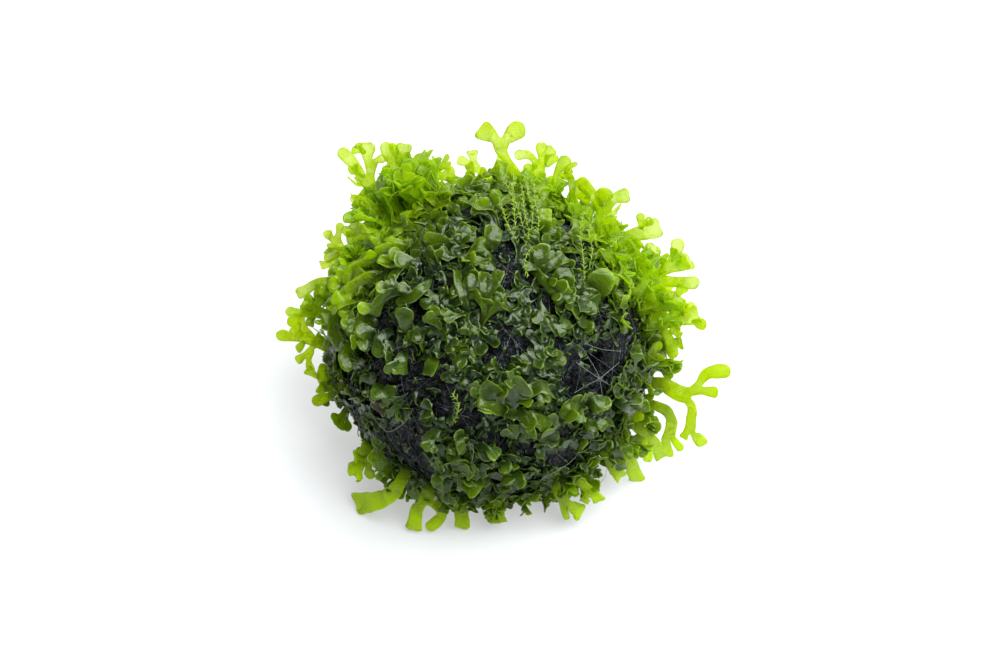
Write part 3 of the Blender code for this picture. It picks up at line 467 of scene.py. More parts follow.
# Thalli on the front of the ball that stand out in the picture, in such rows, with points as over()
FRONT_THALLI = (
    # The broad, pale cluster in the middle
    [3.4, 10, (3.0, -13.0, 0.5), (5.0, -9.6, 3.4),
        [4.6, 8, (7.4, -7.2, 5.6)], [3.0, -25, (10.2, -8.4, 4.6), (11.2, -9.4, 4.4)]],
    [4.4, -14, (1.6, -13.2, 0.5), (0.6, -10.0, 3.0), (-0.6, -7.0, 4.4)],
    [3.4, 14, (4.2, -12.2, 0.6), (6.6, -14.0, 3.2),
        [4.4, 20, (9.0, -15.4, 4.6)], [2.6, -10, (12.0, -16.4, 4.0)]],
    [2.8, 35, (3.4, -13.2, 0.6), (1.0, -12.2, 3.4), (-2.4, -11.6, 4.0)],
    # Forks that stand up above it
    [1.9, (-4.6, 6.4, 0.5), (-5.0, 9.6, 2.8),
        [1.8, 20, (-6.2, 12.4, 3.4), (-6.6, 14.8, 3.2)], [1.7, -30, (-4.6, 12.0, 3.6), (-3.6, 14.2, 3.8)]],
    [2.3, (-0.4, 5.8, 0.5), (-0.8, 9.4, 3.0),
        [2.2, 25, (-1.2, 12.0, 3.8), (-1.4, 14.4, 4.0)], [2.3, -25, (0.8, 12.2, 4.2), (2.4, 14.8, 4.4)]],
    # The ruffled cluster at the upper right
    [2.6, 12, (9.4, 12.4, 0.5), (10.4, 15.0, 3.0),
        [3.2, 18, (10.2, 17.8, 4.2), (11.0, 19.2, 4.2)], [3.0, -16, (13.2, 16.4, 4.4), (14.6, 17.4, 4.2)]],
    [3.0, -10, (12.6, 11.6, 0.5), (13.8, 13.4, 3.4),
        [3.6, 12, (16.4, 14.8, 4.4)], [2.8, -20, (14.0, 11.2, 4.4), (15.0, 9.6, 3.6)]],
    [2.2, 30, (7.4, 16.2, 0.6), (9.6, 13.8, 2.8), (12.0, 11.2, 3.4), (14.6, 8.4, 2.6)],
    # Round lobes near the top
    [3.2, 6, (10.2, 21.6, 0.6), (10.8, 24.6, 3.4), (11.0, 26.8, 4.2)],
    [4.6, -12, (7.2, 26.6, 0.6), (8.4, 29.6, 3.2), (9.0, 32.4, 3.4)],
    [4.2, 10, (0.2, 18.4, 0.6), (0.4, 20.6, 3.2), (0.6, 23.4, 3.8)],
    [4.6, -14, (20.6, 9.4, 0.6), (21.8, 12.0, 3.4), (22.6, 14.6, 4.0)],
    # Long lobes at the upper left
    [2.4, -20, (-7.0, 18.6, 0.6), (-9.0, 20.6, 3.4), (-13.0, 21.0, 4.4)],
    [3.2, 22, (-14.4, 14.6, 0.6), (-16.6, 16.8, 3.2), (-18.4, 15.6, 4.4)],
    [3.0, -28, (-9.8, 13.0, 0.6), (-10.6, 15.6, 3.2), (-12.2, 19.2, 3.8)],
    [2.6, 30, (-12.0, 13.6, 0.6), (-12.6, 11.6, 3.6), (-15.2, 9.6, 4.2), (-18.2, 8.4, 3.4)],
    [3.0, -20, (-15.8, 2.0, 0.6), (-16.6, 4.8, 3.4), (-16.8, 7.4, 3.8)],
    [3.4, 12, (-22.0, 0.6, 0.6), (-24.2, 2.2, 3.4), (-25.6, 3.6, 3.6)],
    [3.4, -12, (-23.0, 12.4, 0.6), (-26.0, 14.2, 3.6), (-29.4, 14.2, 3.8)],
    [2.8, 10, (-20.4, 18.0, 0.6), (-22.4, 20.4, 3.6), (-23.4, 23.0, 4.0)],
    # Cups and lobes right of the middle
    [2.8, (19.4, -12.0, 0.6), (17.8, -11.4, 3.6),
        [2.4, 25, (15.4, -12.4, 4.6), (14.8, -14.4, 4.2)], [2.6, -25, (16.4, -10.2, 4.4)]],
    [3.6, -14, (19.0, -13.2, 0.6), (20.8, -11.8, 3.8), (23.4, -11.2, 4.2)],
    [2.6, 20, (20.6, -14.6, 0.6), (20.2, -14.6, 3.4), (20.0, -17.0, 3.8)],
    [2.8, 10, (24.4, -10.6, 0.6), (26.6, -12.0, 3.4), (28.6, -13.4, 3.4)],
    [2.8, -8, (17.4, -19.0, 0.6), (18.6, -19.8, 3.2), (19.2, -20.6, 3.6)],
    [2.8, 16, (23.4, -18.8, 0.6), (25.0, -20.6, 3.4), (26.0, -25.0, 3.0)],
    # Lobes low on the front
    [2.8, 14, (-2.6, -19.2, 0.6), (-1.4, -20.6, 3.4), (-0.4, -22.6, 3.8)],
    [2.6, -12, (2.0, -22.4, 0.6), (3.0, -24.0, 3.2), (2.6, -25.2, 3.6)],
    [2.8, 20, (5.4, -25.0, 0.6), (5.8, -26.2, 3.4), (5.6, -27.6, 3.6)],
    [1.8, -20, (-6.4, -17.4, 0.6), (-6.0, -18.8, 3.2), (-5.2, -21.4, 3.4)],
    [2.2, 30, (-9.4, -16.2, 0.6), (-11.4, -17.8, 2.6), (-13.2, -19.4, 3.0)],
    [3.4, 10, (-2.0, -26.0, 0.6), (-3.0, -27.4, 3.2), (-4.4, -29.0, 3.8)],
    # Hanging lobes at the left
    [2.8, -18, (-16.6, -1.0, 0.6), (-17.4, -3.0, 3.0), (-17.6, -6.0, 3.2)],
    [3.0, 24, (-11.0, -2.0, 0.6), (-11.6, -3.6, 3.2), (-12.2, -6.2, 3.4)],
    [2.6, -16, (-21.6, -7.4, 0.6), (-22.0, -8.8, 3.0), (-21.4, -11.0, 3.4)],
    [2.4, 20, (-30.2, -3.2, 0.6), (-32.4, -5.6, 1.6), (-32.6, -9.0, 1.8)],
    # Long lobes combed down to the left
    [2.2, -25, (-24.0, 11.0, 0.6), (-29.0, 11.6, 3.6), (-33.4, 9.8, 3.4),
        [1.7, -30, (-37.4, 6.0, 2.0)], [1.6, -10, (-35.0, 7.2, 3.0), (-36.2, 3.6, 3.0)]],
    [2.5, 30, (-25.0, 8.4, 0.6), (-29.6, 7.6, 3.8), (-31.2, 3.6, 4.2), (-29.4, -0.8, 4.2)],
    [2.1, -34, (-21.6, 8.0, 0.6), (-24.8, 6.8, 3.6), (-26.2, 3.0, 4.0), (-24.6, -1.2, 4.0)],
    [2.8, -20, (-20.4, 14.0, 0.6), (-24.4, 13.4, 3.4), (-28.2, 10.8, 4.0),
        [2.0, -30, (-32.0, 8.2, 4.0)], [2.2, 15, (-29.2, 6.8, 4.2)]],
    [2.4, -30, (-18.4, 17.0, 0.6), (-22.0, 17.2, 3.4), (-27.0, 15.2, 4.2),
        [1.8, -30, (-31.2, 13.6, 3.6)], [2.0, 20, (-29.0, 12.0, 4.2)]],
    [2.4, -25, (-15.4, 18.6, 0.6), (-18.4, 19.4, 3.4), (-22.6, 18.4, 4.2)],
    [2.4, -25, (-14.0, 10.4, 0.6), (-17.4, 11.0, 3.4), (-21.6, 9.0, 4.2), (-23.4, 6.0, 3.8)],
    [2.6, 12, (-19.0, 3.4, 0.6), (-21.6, 1.2, 3.2), (-21.8, -2.4, 3.6)],
    [2.6, -14, (-26.4, 0.6, 0.6), (-28.6, -1.6, 3.6), (-28.0, -5.2, 3.8)],
    # Broad lobes at the lower left, above the feet
    [2.8, 10, (-18.2, -26.2, 1.0), (-20.6, -24.8, 3.0), (-23.8, -21.2, 3.6)],
    [2.8, -8, (-12.2, -26.8, 1.0), (-15.0, -27.6, 2.8), (-18.6, -28.0, 3.0)],
    [2.8, 12, (-7.8, -26.2, 1.0), (-9.2, -28.8, 2.8), (-10.6, -31.2, 2.4)],
)

# Thalli that stand out along the outline, as (first angle, last angle, how many, sizes), from the right
OUTLINE_THALLI = (
    (108, 132, 40, (0.95, 1.40)),
    (131, 154, 12, (0.55, 0.80)),
    (36, 92, 26, (0.60, 0.90)),
    (-8, 34, 24, (0.75, 1.05)),
    (-60, -20, 20, (0.65, 0.95)),
    (-100, -62, 14, (0.55, 0.80)),
    (-150, -100, 10, (0.50, 0.70)),
    (156, 192, 14, (0.50, 0.70)),
)

# Long fronds with small lobes along their margins
LEAFY_FRONDS = {
    "frond_horn_left", "frond_fork_left", "frond_crest_left", "frond_crest_mid", "frond_crown_right",
    "frond_crown_edge", "frond_shoulder", "frond_ruffle", "frond_ruffle_loop", "frond_lobe", "frond_bunch",
    "frond_left_shoulder", "frond_left_upper", "frond_left_mid", "frond_left_tip", "frond_left_low",
    "frond_heel_left", "frond_low_right", "frond_arm", "frond_horn",
}

# The one old, brown thallus at the lower left
OLD_THALLUS = [3.4, 18, (-19.6, -9.2, 0.6), (-21.0, -11.0, 2.2), (-22.2, -13.6, 2.4)]

# Strands of moss, each from its root to its tip, with points as over()
MOSS_STRANDS = (
    ((7.0, 21.0, 1.6), (6.2, 24.6, 3.6), (4.6, 29.2, 4.2), (2.6, 32.6, 4.0)),
    ((6.8, 19.0, 1.6), (7.6, 22.0, 3.4), (6.8, 26.4, 4.4), (6.2, 31.4, 4.6)),
    ((5.6, 20.0, 1.6), (3.4, 24.0, 3.8), (2.4, 27.0, 4.2), (0.8, 29.6, 4.0)),
    ((9.4, 21.4, 1.6), (9.6, 25.0, 3.6), (8.8, 29.0, 4.4), (8.6, 32.8, 4.4)),
    ((5.2, 22.0, 1.6), (4.8, 26.0, 3.8), (4.4, 30.6, 4.4), (4.8, 33.6, 4.2)),
    ((8.2, 22.0, 1.6), (8.4, 27.0, 4.2), (7.4, 30.4, 4.6), (7.2, 34.2, 4.4)),
    ((9.0, 20.0, 1.6), (7.4, 18.0, 3.2), (6.8, 15.6, 3.4), (7.6, 13.6, 2.8)),
    ((18.6, 13.0, 1.6), (18.4, 17.4, 3.2), (17.8, 22.0, 3.8), (18.4, 26.2, 3.8)),
    ((19.6, 15.0, 1.6), (20.2, 18.8, 3.4), (19.6, 22.6, 4.0), (20.8, 25.4, 3.8)),
    ((23.0, 18.0, 1.6), (24.8, 20.6, 3.4), (26.2, 22.6, 3.6), (26.4, 24.8, 3.4)),
    ((-8.0, -15.8, 1.2), (-6.6, -14.0, 2.4), (-6.2, -11.4, 2.8), (-7.4, -9.4, 2.4)),
)

# Threads of the net that span the hollow
HOLLOW_THREADS = (
    ((16.6, -9.4, 1.2), (19.6, -7.6, 1.4), (21.6, -6.6, 1.5), (25.6, -3.4, 1.2)),
    ((18.2, -0.6, 1.2), (20.4, -4.0, 1.4), (21.6, -6.6, 1.5), (22.4, -11.2, 1.2)),
    ((17.0, -3.4, 1.2), (21.6, -6.6, 1.5), (24.6, -8.4, 1.2)),
    ((18.6, 0.4, 1.2), (22.0, -0.8, 1.5), (25.8, -1.2, 1.2)),
    ((21.0, -6.2, 1.5), (21.9, -6.3, 1.9), (22.0, -7.1, 1.8), (21.2, -7.0, 1.6), (21.4, -6.2, 1.9)),
)

# Loose threads, each through these places
LOOSE_THREADS = (
    ((-22.0, 3.0, 1.8), (-21.0, -0.4, 2.8), (-20.2, -4.0, 2.8), (-19.4, -6.4, 2.4)),
    ((-24.0, -13.2, 1.4), (-20.4, -17.0, 2.4), (-17.0, -15.4, 2.6), (-15.0, -12.4, 2.0)),
    ((-7.0, -21.0, 1.4), (-3.6, -19.4, 2.8), (-3.4, -22.4, 2.8), (-4.6, -24.6, 2.0)),
    ((10.4, -26.4, 1.6), (13.0, -25.0, 2.8), (15.6, -23.4, 2.6), (17.4, -21.6, 1.8)),
    ((-3.0, 33.6, 1.2), (-4.4, 34.4, 1.4), (-5.9, 34.4, 1.4), (-6.2, 34.3, 1.4)),
    ((20.0, -29.6, 1.6), (21.6, -28.0, 2.4), (23.0, -26.4, 1.8), (23.4, -24.6, 1.2)),
)


def bare_at(direction):
    """How bare a place on the ball is, from 0, covered, to 1, bare."""
    share = max(
        1.0 - (direction - on_ball_seen(right, up)).length * BALL_RADIUS / (radius * MM)
        for right, up, radius in BARE_PLACES
    )
    return min(1.0, max(0.0, share * 3.0))


class Grower:
    """Grows forked ribbons, row by row, in a bmesh. A row is a left, a middle and a right corner."""

    def __init__(self, bm, rng, spacing, ruffle, spatula=1.12, flare=0.6, ragged=0.30):
        layers = bm.verts.layers.float
        self.bm, self.rng, self.spacing, self.ruffle = bm, rng, spacing, ruffle
        self.spatula, self.flare, self.ragged = spatula, flare, ragged
        self.grown, self.rim, self.tint = (layers.get(n) or layers.new(n) for n in ("grown", "rim", "tint"))

    def plant(self, tree, foot_width, tint):
        """Grows a whole thallus. tint is its colour, from 0, dark and bluish, to 1, yellow."""
        self.shade = tint
        self.waves = self.rng.uniform(*WAVES) / MM
        self.phase = self.rng.uniform(0, 2 * math.pi)
        self.cup = self.rng.uniform(-0.12, 0.26)
        self.crumple = Vector(self.rng.uniform(0, 50) for _ in range(3))
        self.length = tree_length(tree)
        rows = rows_along(tree["points"], self.spacing)
        forward = (rows[1] - rows[0]).normalized()
        row = [self.bm.verts.new(rows[0]) for _ in range(3)]
        self.put(row, rows[0], forward, turned_side(forward, tree["facing"], 0.0), foot_width, 0.0)
        self.bm.edges.new(row[:2])
        self.bm.edges.new(row[1:])
        self.stretch(row, None, tree["facing"], foot_width, tree, 0.0)

    def put(self, row, centre, forward, side, width, run, swell=0.0):
        """Puts a row's corners in place, with the ruffle of its margins and the crumple of its blade."""
        normal = side.cross(forward)
        share = min(1.0, run / self.length)
        for vert, across in zip(row, (-1, 0, 1)):
            wave = math.sin(self.phase + 1.7 * across + run * self.waves)
            lift = abs(across) * width * (self.cup * share + self.ruffle * wave)
            vert.co = centre + side * across * width / 2 * (1 + self.ragged * self.rng.uniform(-1.0, 0.65))
            lift += self.ruffle * CRUMPLE_HEIGHT * noise.noise(vert.co * CRUMPLE_SCALE + self.crumple)
            vert.co += normal * lift
            if not across:
                vert.co += forward * swell * width
            vert.co.z = max(vert.co.z, FLOOR_LEVEL + GROUND_GAP)
            vert[self.grown] = share
            vert[self.rim] = abs(across)
            vert[self.tint] = self.shade

    def extend(self, row):
        """Extrudes a ribbon's open row to a new one."""
        edges = [self.bm.edges.get(pair) for pair in zip(row, row[1:])]
        grown = bmesh.ops.extrude_edge_only(self.bm, edges=edges)["geom"]
        far = {v for v in grown if isinstance(v, bmesh.types.BMVert)}
        return [next(e.other_vert(v) for e in v.link_edges if e.other_vert(v) in far) for v in row]

    def stretch(self, row, start, facing, width, tree, run):
        """Grows one stretch from an open row, then the stretches that it forks into."""
        rows = rows_along([start, *tree["points"]] if start else tree["points"], self.spacing)
        wide, end, tip = tree["wide"], rows[-1], not tree["forks"]
        if tip:
            wide *= self.spatula
            ahead = (end - rows[-2]).normalized()
            rows = [rows[0], *(p for p in rows[1:-1] if (p - end).length > 0.65 * wide)]
            rows.append(end - ahead * min(0.5 * wide, 0.7 * (end - rows[-1]).length))
        last = len(rows) - 1
        for k in range(1, last + 1):
            t = k / last
            run += (rows[k] - rows[k - 1]).length
            forward = (rows[min(k + 1, last)] - rows[k - 1]).normalized()
            side = turned_side(forward, facing.lerp(tree["facing"], t), tree["roll"] * t)
            row_width = width + (wide - width) * t**self.flare
            row = self.extend(row)
            self.put(row, rows[k], forward, side, row_width, run)
        if tip:
            left = (end - rows[-1]).length
            notched, blunt = self.rng.random() < NOTCHED_SHARE, self.rng.uniform(*BLUNTNESS)
            for share, part, swell in ((0.55, 0.93, 0.04), (1.0, blunt, NOTCH if notched else BULGE)):
                row = self.extend(row)
                part *= 1.25 if notched else 1.0
                self.put(row, rows[-1] + forward * left * share, forward, side, part * row_width, run, swell)
            for vert in row:
                vert[self.rim] = 1.0
        else:
            self.fork(row, rows[-1], side, forward, tree, run)

    def fork(self, row, centre, side, forward, tree, run):
        """Halves an open row, and grows one branch from each half."""
        left, middle, right = row
        middle.co += forward * 0.10 * tree["wide"]
        middle[self.rim] = 1.0
        branches = sorted(tree["forks"], key=lambda b: (b["points"][0] - centre).dot(side))
        halves = []
        for pair in ((left, middle), (middle, right)):
            _, between = bmesh.utils.edge_split(self.bm.edges.get(pair), pair[0], 0.5)
            between[self.grown], between[self.tint] = middle[self.grown], self.shade
            between[self.rim] = 0.3
            halves.append([pair[0], between, pair[1]])
        for half, branch in zip(halves, branches):
            root = (half[0].co + half[2].co) / 2
            self.stretch(half, root, tree["facing"], (half[0].co - half[2].co).length, branch, run)


def tree_length(tree):
    """The length of a thallus from its foot to its furthest tip."""
    points = tree["points"]
    own = sum((b - a).length for a, b in zip(points, points[1:]))
    onward = [(b["points"][0] - points[-1]).length + tree_length(b) for b in tree["forks"]]
    return max(own + max(onward, default=0.0), MM)


def clear_of_ball(point, gap):
    """A point, moved outwards if need be, so that it stands at least this far off the ball."""
    out = point.normalized()
    return out * max(point.length, ball_surface(out) + gap)


def standing(out):
    """How far thalli stand up at this place: least low on the front, most along the top."""
    return 0.5 + 0.5 * min(1.0, max(0.0, out.dot(UPWARD) * 0.9 + 0.6))


def short_thallus(out, rng, slope, size, generations, upright=0.45):
    """A thallus that leaves the ball at this slope, then creeps round it and forks."""
    thalli = settings().thalli

    def step(point, tangent, slope, length):
        ahead = point + tangent * length * math.cos(slope)
        return clear_of_ball(ahead.normalized() * (point.length + length * math.sin(slope)), GROUND_GAP)

    def grow(point, tangent, slope, generation):
        up = point.normalized()
        tangent = (tangent - up * tangent.dot(up)).normalized()
        length = thalli.lobe_length * size * rng.uniform(0.75, 1.3)
        middle = step(point, tangent, slope, 0.5 * length)
        slope = slope * upright + math.radians(rng.uniform(-12, 14))
        end = step(middle, tangent, slope, 0.5 * length)
        forward, up = (end - middle).normalized(), end.normalized()
        roll = math.radians(rng.gauss(0, BLADE_ROLL))
        face = Matrix.Rotation(roll, 3, forward) @ (up - forward * forward.dot(up))
        forks = ()
        if generation:
            spread = math.radians(rng.uniform(*BRANCH_SPREAD))
            forks = []
            for turn in (-1, 1):
                aside = Matrix.Rotation(turn * spread, 3, up) @ tangent
                steeper = slope + math.radians(rng.uniform(*BRANCH_SLOPE))
                forks.append(grow(end, aside, steeper, generation - 1))
        wide = thalli.lobe_width * size * rng.uniform(0.72, 1.25) * (0.8 if generation else 1.0)
        return stem(middle, end, wide=wide / MM, forks=forks, facing=face)

    foot = out * (ball_surface(out) - FOOT_DEPTH)
    tree = grow(foot, turned_about(out, rng), slope, generations)
    tree["points"].insert(0, foot)
    return tree


def tips_of(tree):
    """The end of each stretch of a thallus."""
    return [tree["points"][-1], *(tip for branch in tree["forks"] for tip in tips_of(branch))]


def back_frond(direction, sideways, rng):
    """A long frond on the far side of the ball, which stands out, droops and forks twice."""
    out = direction.normalized()

    def stretch(point, heading, length, generation):
        heading = (heading + BACK_DROOP).normalized()
        ahead = point + heading * length
        forks = ()
        if generation:
            spread = math.radians(rng.uniform(*BACK_SPREADS[generation]))
            axis = heading.cross(sideways.cross(heading)).normalized()
            forks = []
            for turn in (-1, 1):
                turned = Matrix.Rotation(turn * spread, 3, axis) @ heading
                forks.append(stretch(ahead, turned, length * 0.85, generation - 1))
        wide = rng.uniform(*BACK_WIDTHS[generation])
        return stem(ahead, wide=wide, roll=rng.uniform(-8, 8), forks=forks, facing=sideways)

    foot = out * (BALL_RADIUS + CUSHION_DEPTH)
    first = foot + (out * 0.8 + sideways * 0.3).normalized() * BACK_FOOT
    tree = stretch(first, (out + sideways * 0.5).normalized(), rng.uniform(4.0, 4.8) * MM, 2)
    tree["points"][0:0] = [foot, first]
    return tree


def leaflets_on(tree, start, rng):
    """Small lobes that grow from the margins of a long frond."""
    lobes = []
    places = [start, *tree["points"]] if start else tree["points"]
    rows = rows_along(places, LEAFLET_PITCH)
    for before, here in zip(rows, rows[1:]):
        if (before - tree["root"]).length < LEAFLET_CLEARANCE or rng.random() < LEAFLETS_MISSING:
            continue
        forward = (here - before).normalized()
        side = turned_side(forward, tree["facing"], tree["roll"]) * rng.choice((-1, 1))
        face = side.cross(forward)
        heading = (forward * rng.uniform(0.2, 1.1) + side + face * rng.uniform(-0.8, 0.8)).normalized()
        foot = before + side * 0.25 * tree["wide"]
        middle = foot + heading * rng.uniform(1.0, 1.8) * MM
        bend = (heading + forward * rng.uniform(-0.2, 0.6) + face * rng.uniform(-0.5, 0.5)).normalized()
        turned = Matrix.Rotation(math.radians(rng.uniform(-45, 45)), 3, heading) @ tree["facing"]
        forks = ()
        if rng.random() < 0.4:
            aside = bend.cross(turned).normalized()
            forks = [
                stem(middle + (bend + aside * turn).normalized() * rng.uniform(1.4, 2.4) * MM,
                     wide=rng.uniform(1.4, 2.2), facing=turned)
                for turn in (-0.7, 0.7)
            ]
            lobes.append(stem(foot, middle, wide=rng.uniform(1.4, 2.0), forks=forks, facing=turned))
        else:
            end = middle + bend * rng.uniform(1.0, 2.0) * MM
            lobes.append(stem(foot, middle, end, wide=rng.uniform(1.6, 3.0), facing=turned))
    for branch in tree["forks"]:
        lobes += leaflets_on({**branch, "root": tree["root"]}, tree["points"][-1], rng)
    return lobes


def raised(tree, gap):
    """A thallus with its points moved outwards, where need be, to stand this far off the ball."""
    places = [clear_of_ball(p, gap) for p in tree["points"]]
    return {**tree, "points": places, "forks": [raised(b, gap) for b in tree["forks"]]}


def rooted(tree, gap):
    """A thallus that stands this far off the ball, with a foot that reaches down to it."""
    standing = raised(tree, gap)
    out = tree["points"][0].normalized()
    foot = out * (ball_surface(out) - FOOT_DEPTH)
    later = [p for p in standing["points"] if (p - foot).length > 1.2 * MM]
    return {**standing, "points": [foot, *later]}


class Value:
    """A number in a material. Arithmetic on it adds Math nodes."""

    def __init__(self, finish, socket):
        self.finish, self.socket = finish, socket

    def math(self, operation, *others, clamp=False):
        inputs = dict(enumerate((self, *others)))
        return self.finish.value("ShaderNodeMath", {"operation": operation, "use_clamp": clamp}, inputs)

    def __add__(self, other):
        return self.math("ADD", other)

    __radd__ = __add__

    def __mul__(self, other):
        return self.math("MULTIPLY", other)

    __rmul__ = __mul__

    def __sub__(self, other):
        return self.math("SUBTRACT", other)

    def __rsub__(self, other):
        return self * -1.0 + other

    def __truediv__(self, other):
        return self.math("DIVIDE", other)

    def __pow__(self, other):
        return self.math("POWER", other)

    def clamped(self):
        return self.math("ADD", 0.0, clamp=True)

    def rise(self, start, stop):
        """From 0 at start to 1 at stop, and level beyond them."""
        return ((self - start) / (stop - start)).clamped()


class Finish:
    """A material, and the means to add its nodes."""

    def __init__(self, name):
        self.material = bpy.data.materials.new(name)
        self.material.use_nodes = True
        self.tree = self.material.node_tree
        self.tree.nodes.clear()

    def node(self, kind, options=None, inputs=None):
        """Adds a node, sets its options, and sets or links its inputs."""
        node = self.tree.nodes.new(kind)
        for name, option in (options or {}).items():
            setattr(node, name, option)
        for name, given in (inputs or {}).items():
            socket = given.socket if isinstance(given, Value) else given
            if isinstance(socket, bpy.types.NodeSocket):
                self.tree.links.new(socket, node.inputs[name])
            else:
                node.inputs[name].default_value = socket
        return node

    def value(self, kind, options=None, inputs=None, output=0):
        return Value(self, self.node(kind, options, inputs).outputs[output])

    def attribute(self, name):
        return self.value("ShaderNodeAttribute", {"attribute_name": name}, output="Fac")

    def vector(self, operation, *inputs, output="Vector"):
        return self.value("ShaderNodeVectorMath", {"operation": operation}, dict(enumerate(inputs)), output)

    def place(self):
        """Where the surface lies, from the ball's centre."""
        return self.vector("SUBTRACT", self.value("ShaderNodeTexCoord", output="Object"), BALL_CENTRE)

    def grain(self, place, size, detail=3.0, roughness=0.55, distortion=0.0):
        """Noise from 0 to 1 whose features are about this large."""
        inputs = {
            "Vector": place, "Scale": 0.5 / size, "Detail": detail,
            "Roughness": roughness, "Distortion": distortion,
        }
        return self.value("ShaderNodeTexNoise", {}, inputs)

    def blend(self, factor, first, second):
        """A colour between two others."""
        inputs = {0: factor, 6: colour_of(first), 7: colour_of(second)}
        return self.value("ShaderNodeMix", {"data_type": "RGBA"}, inputs, output=2)

    def mixed(self, share, first, second):
        """A shader between two others."""
        return self.value("ShaderNodeMixShader", {}, {0: share, 1: first, 2: second})

    def bump(self, height, depth, strength=1.0):
        inputs = {"Height": height, "Distance": depth, "Strength": strength}
        return self.value("ShaderNodeBump", {}, inputs, output="Normal")

    def shader(self, **inputs):
        return self.value("ShaderNodeBsdfPrincipled", {}, inputs, output="BSDF")

    def finished(self, shader):
        self.node("ShaderNodeOutputMaterial", {}, {"Surface": shader})
        return self.material


def colour_of(given):
    """A colour with its alpha, or a socket as it is."""
    return given if isinstance(given, Value) else (*given[:3], 1.0)


def thallus_finish(name, tones):
    """Wet, glossy, translucent green, dark near the ball and yellow-green at the tips, with a painted glow of
    backlight on the crest, a painted glow along the margins, painted shade in the folds and the long fronds
    low down painted brighter.
    """
    youth, glow, clear, gloss, reach, light = THALLUS_LOOKS[name]
    finish = Finish(name)
    grown, rim, tint = (finish.attribute(n) for n in ("grown", "rim", "tint"))
    place = finish.place()
    distance = finish.vector("LENGTH", place, output="Value")
    high = finish.vector("DOT_PRODUCT", place, UPWARD, output="Value")
    edge = finish.vector("LENGTH", finish.vector("CROSS_PRODUCT", place, NEARER), output="Value")
    across = finish.value("ShaderNodeSeparateXYZ", {}, {0: place}, output="X").math("ABSOLUTE")

    # Where it lies: how far out, on the upper side, on the crest, where a glow of backlight is painted, low
    # down, where the long fronds are painted brighter, and how wet it is there
    outer = distance.rise(*(BALL_RADIUS + off * MM for off in reach))
    upper = high.rise(*UPPER_SIDE)
    shoulder = across.rise(0.0, SHOULDER) * (1.0 - CREST_MIDDLE) + CREST_MIDDLE
    # crest: the upper outline as seen, where a glow of backlight is painted into the colour
    crest = edge.rise(*PAINTED_GLOW_CREST) * upper * shoulder
    # pale: how much the long fronds low down and far out are painted brighter, a painted glow of light coming
    # through them
    pale = (high.rise(*LOW_SIDE) * outer * (youth * 3.0)).clamped()
    shine = high.rise(*WET_SIDE) * gloss

    # Blotches, flecks, dents, and the creases between the dents, with painted shade in the folds along them
    blotch = finish.grain(place, 3.0 * MM)
    fleck = finish.grain(place, 0.4 * MM, detail=4.0)
    creases = (finish.grain(place, 1.1 * MM, detail=1.0, distortion=0.8) - 0.5).math("ABSOLUTE")
    # Painted shade: the folds along the crease lines, where the bump dips, are painted darker
    fold_shade = (1.0 - creases * 30.0).clamped() * (blotch * 8.0 - 4.0).clamped()
    wet = (finish.grain(place, 1.6 * MM, detail=2.0, distortion=1.0) * 8.0 - 2.4).clamped()

    # The crest term paints the upper outline younger and brighter, a painted glow of backlight
    age = (outer * 0.45 + grown * 0.25 + tint * 0.35 + blotch * 0.7 + crest * 0.85 + (youth - 0.67)).clamped()
    old, middle, young = tones
    colour = finish.blend((age * 2.0).clamped(), old, middle)
    colour = finish.blend((age * 2.0 - 1.0).clamped(), colour, young)
    # The margins are painted paler: a painted glow of light shining through the thin margin
    colour = finish.blend((rim**9.0) * 0.5 * (0.3 + outer), colour, MARGIN_GLOW_COLOUR)
    colour = finish.blend((fleck * 3.0 - 1.5).clamped() * 0.5, colour, FLECK_COLOUR)
    # The long fronds low down are painted brighter, a painted glow of light coming through them
    colour = finish.blend(pale, colour, LOW_GLOW_COLOUR)
    # Painted shade in the folds
    colour = finish.blend(fold_shade * 0.6, colour, FOLD_SHADE_COLOUR)
    normal = finish.bump(creases * 0.9 + fleck * 0.46, 0.5 * MM)
    body = finish.shader(**{
        "Base Color": colour,
        "Roughness": (fleck * 0.26 + 0.24 - wet * 0.16).clamped(),
        "IOR": 1.45,
        "Specular IOR Level": 0.42 * gloss,
        "Specular Tint": SHEEN,
        "Coat Weight": wet * shine * 0.7,
        "Coat Roughness": 0.14,
        "Coat IOR": 1.48,
        "Normal": normal,
    })
    lit = {"Color": colour_of(light), "Normal": normal}
    through = finish.value("ShaderNodeBsdfTranslucent", {}, lit, output="BSDF")
    share = ((glow[0] + (glow[1] - glow[0]) * age) * (1.0 - 0.6 * fold_shade) * (1.0 - 0.5 * pale)).clamped()
    leaf = finish.mixed(share, body, through)
    if not clear:
        return finish.finished(leaf)

    # The thinnest sheets are clear between bands that lie across them
    along = finish.value("ShaderNodeCombineXYZ", {}, {"X": grown * 9.0, "Y": tint * 20.0})
    bands = finish.grain(along, 0.5, detail=1.0, distortion=0.4)
    mottle = (blotch * 1.6 + bands * 2.4 - 1.25).clamped()
    thin = outer * (grown**3.0 * 0.65 + 0.35) * (upper * 0.6 + 0.4) * (1.0 - 0.7 * fold_shade)
    turned = finish.value("ShaderNodeLayerWeight", {}, {"Blend": 0.5}, output="Facing")
    faced = (1.0 - turned * turned) * (1.0 - 0.7 * rim**7.0)
    window = finish.value("ShaderNodeBsdfTransparent", {}, {"Color": CLEAR_TINT})
    return finish.finished(finish.mixed((clear * age * thin * mottle * faced).clamped(), leaf, window))


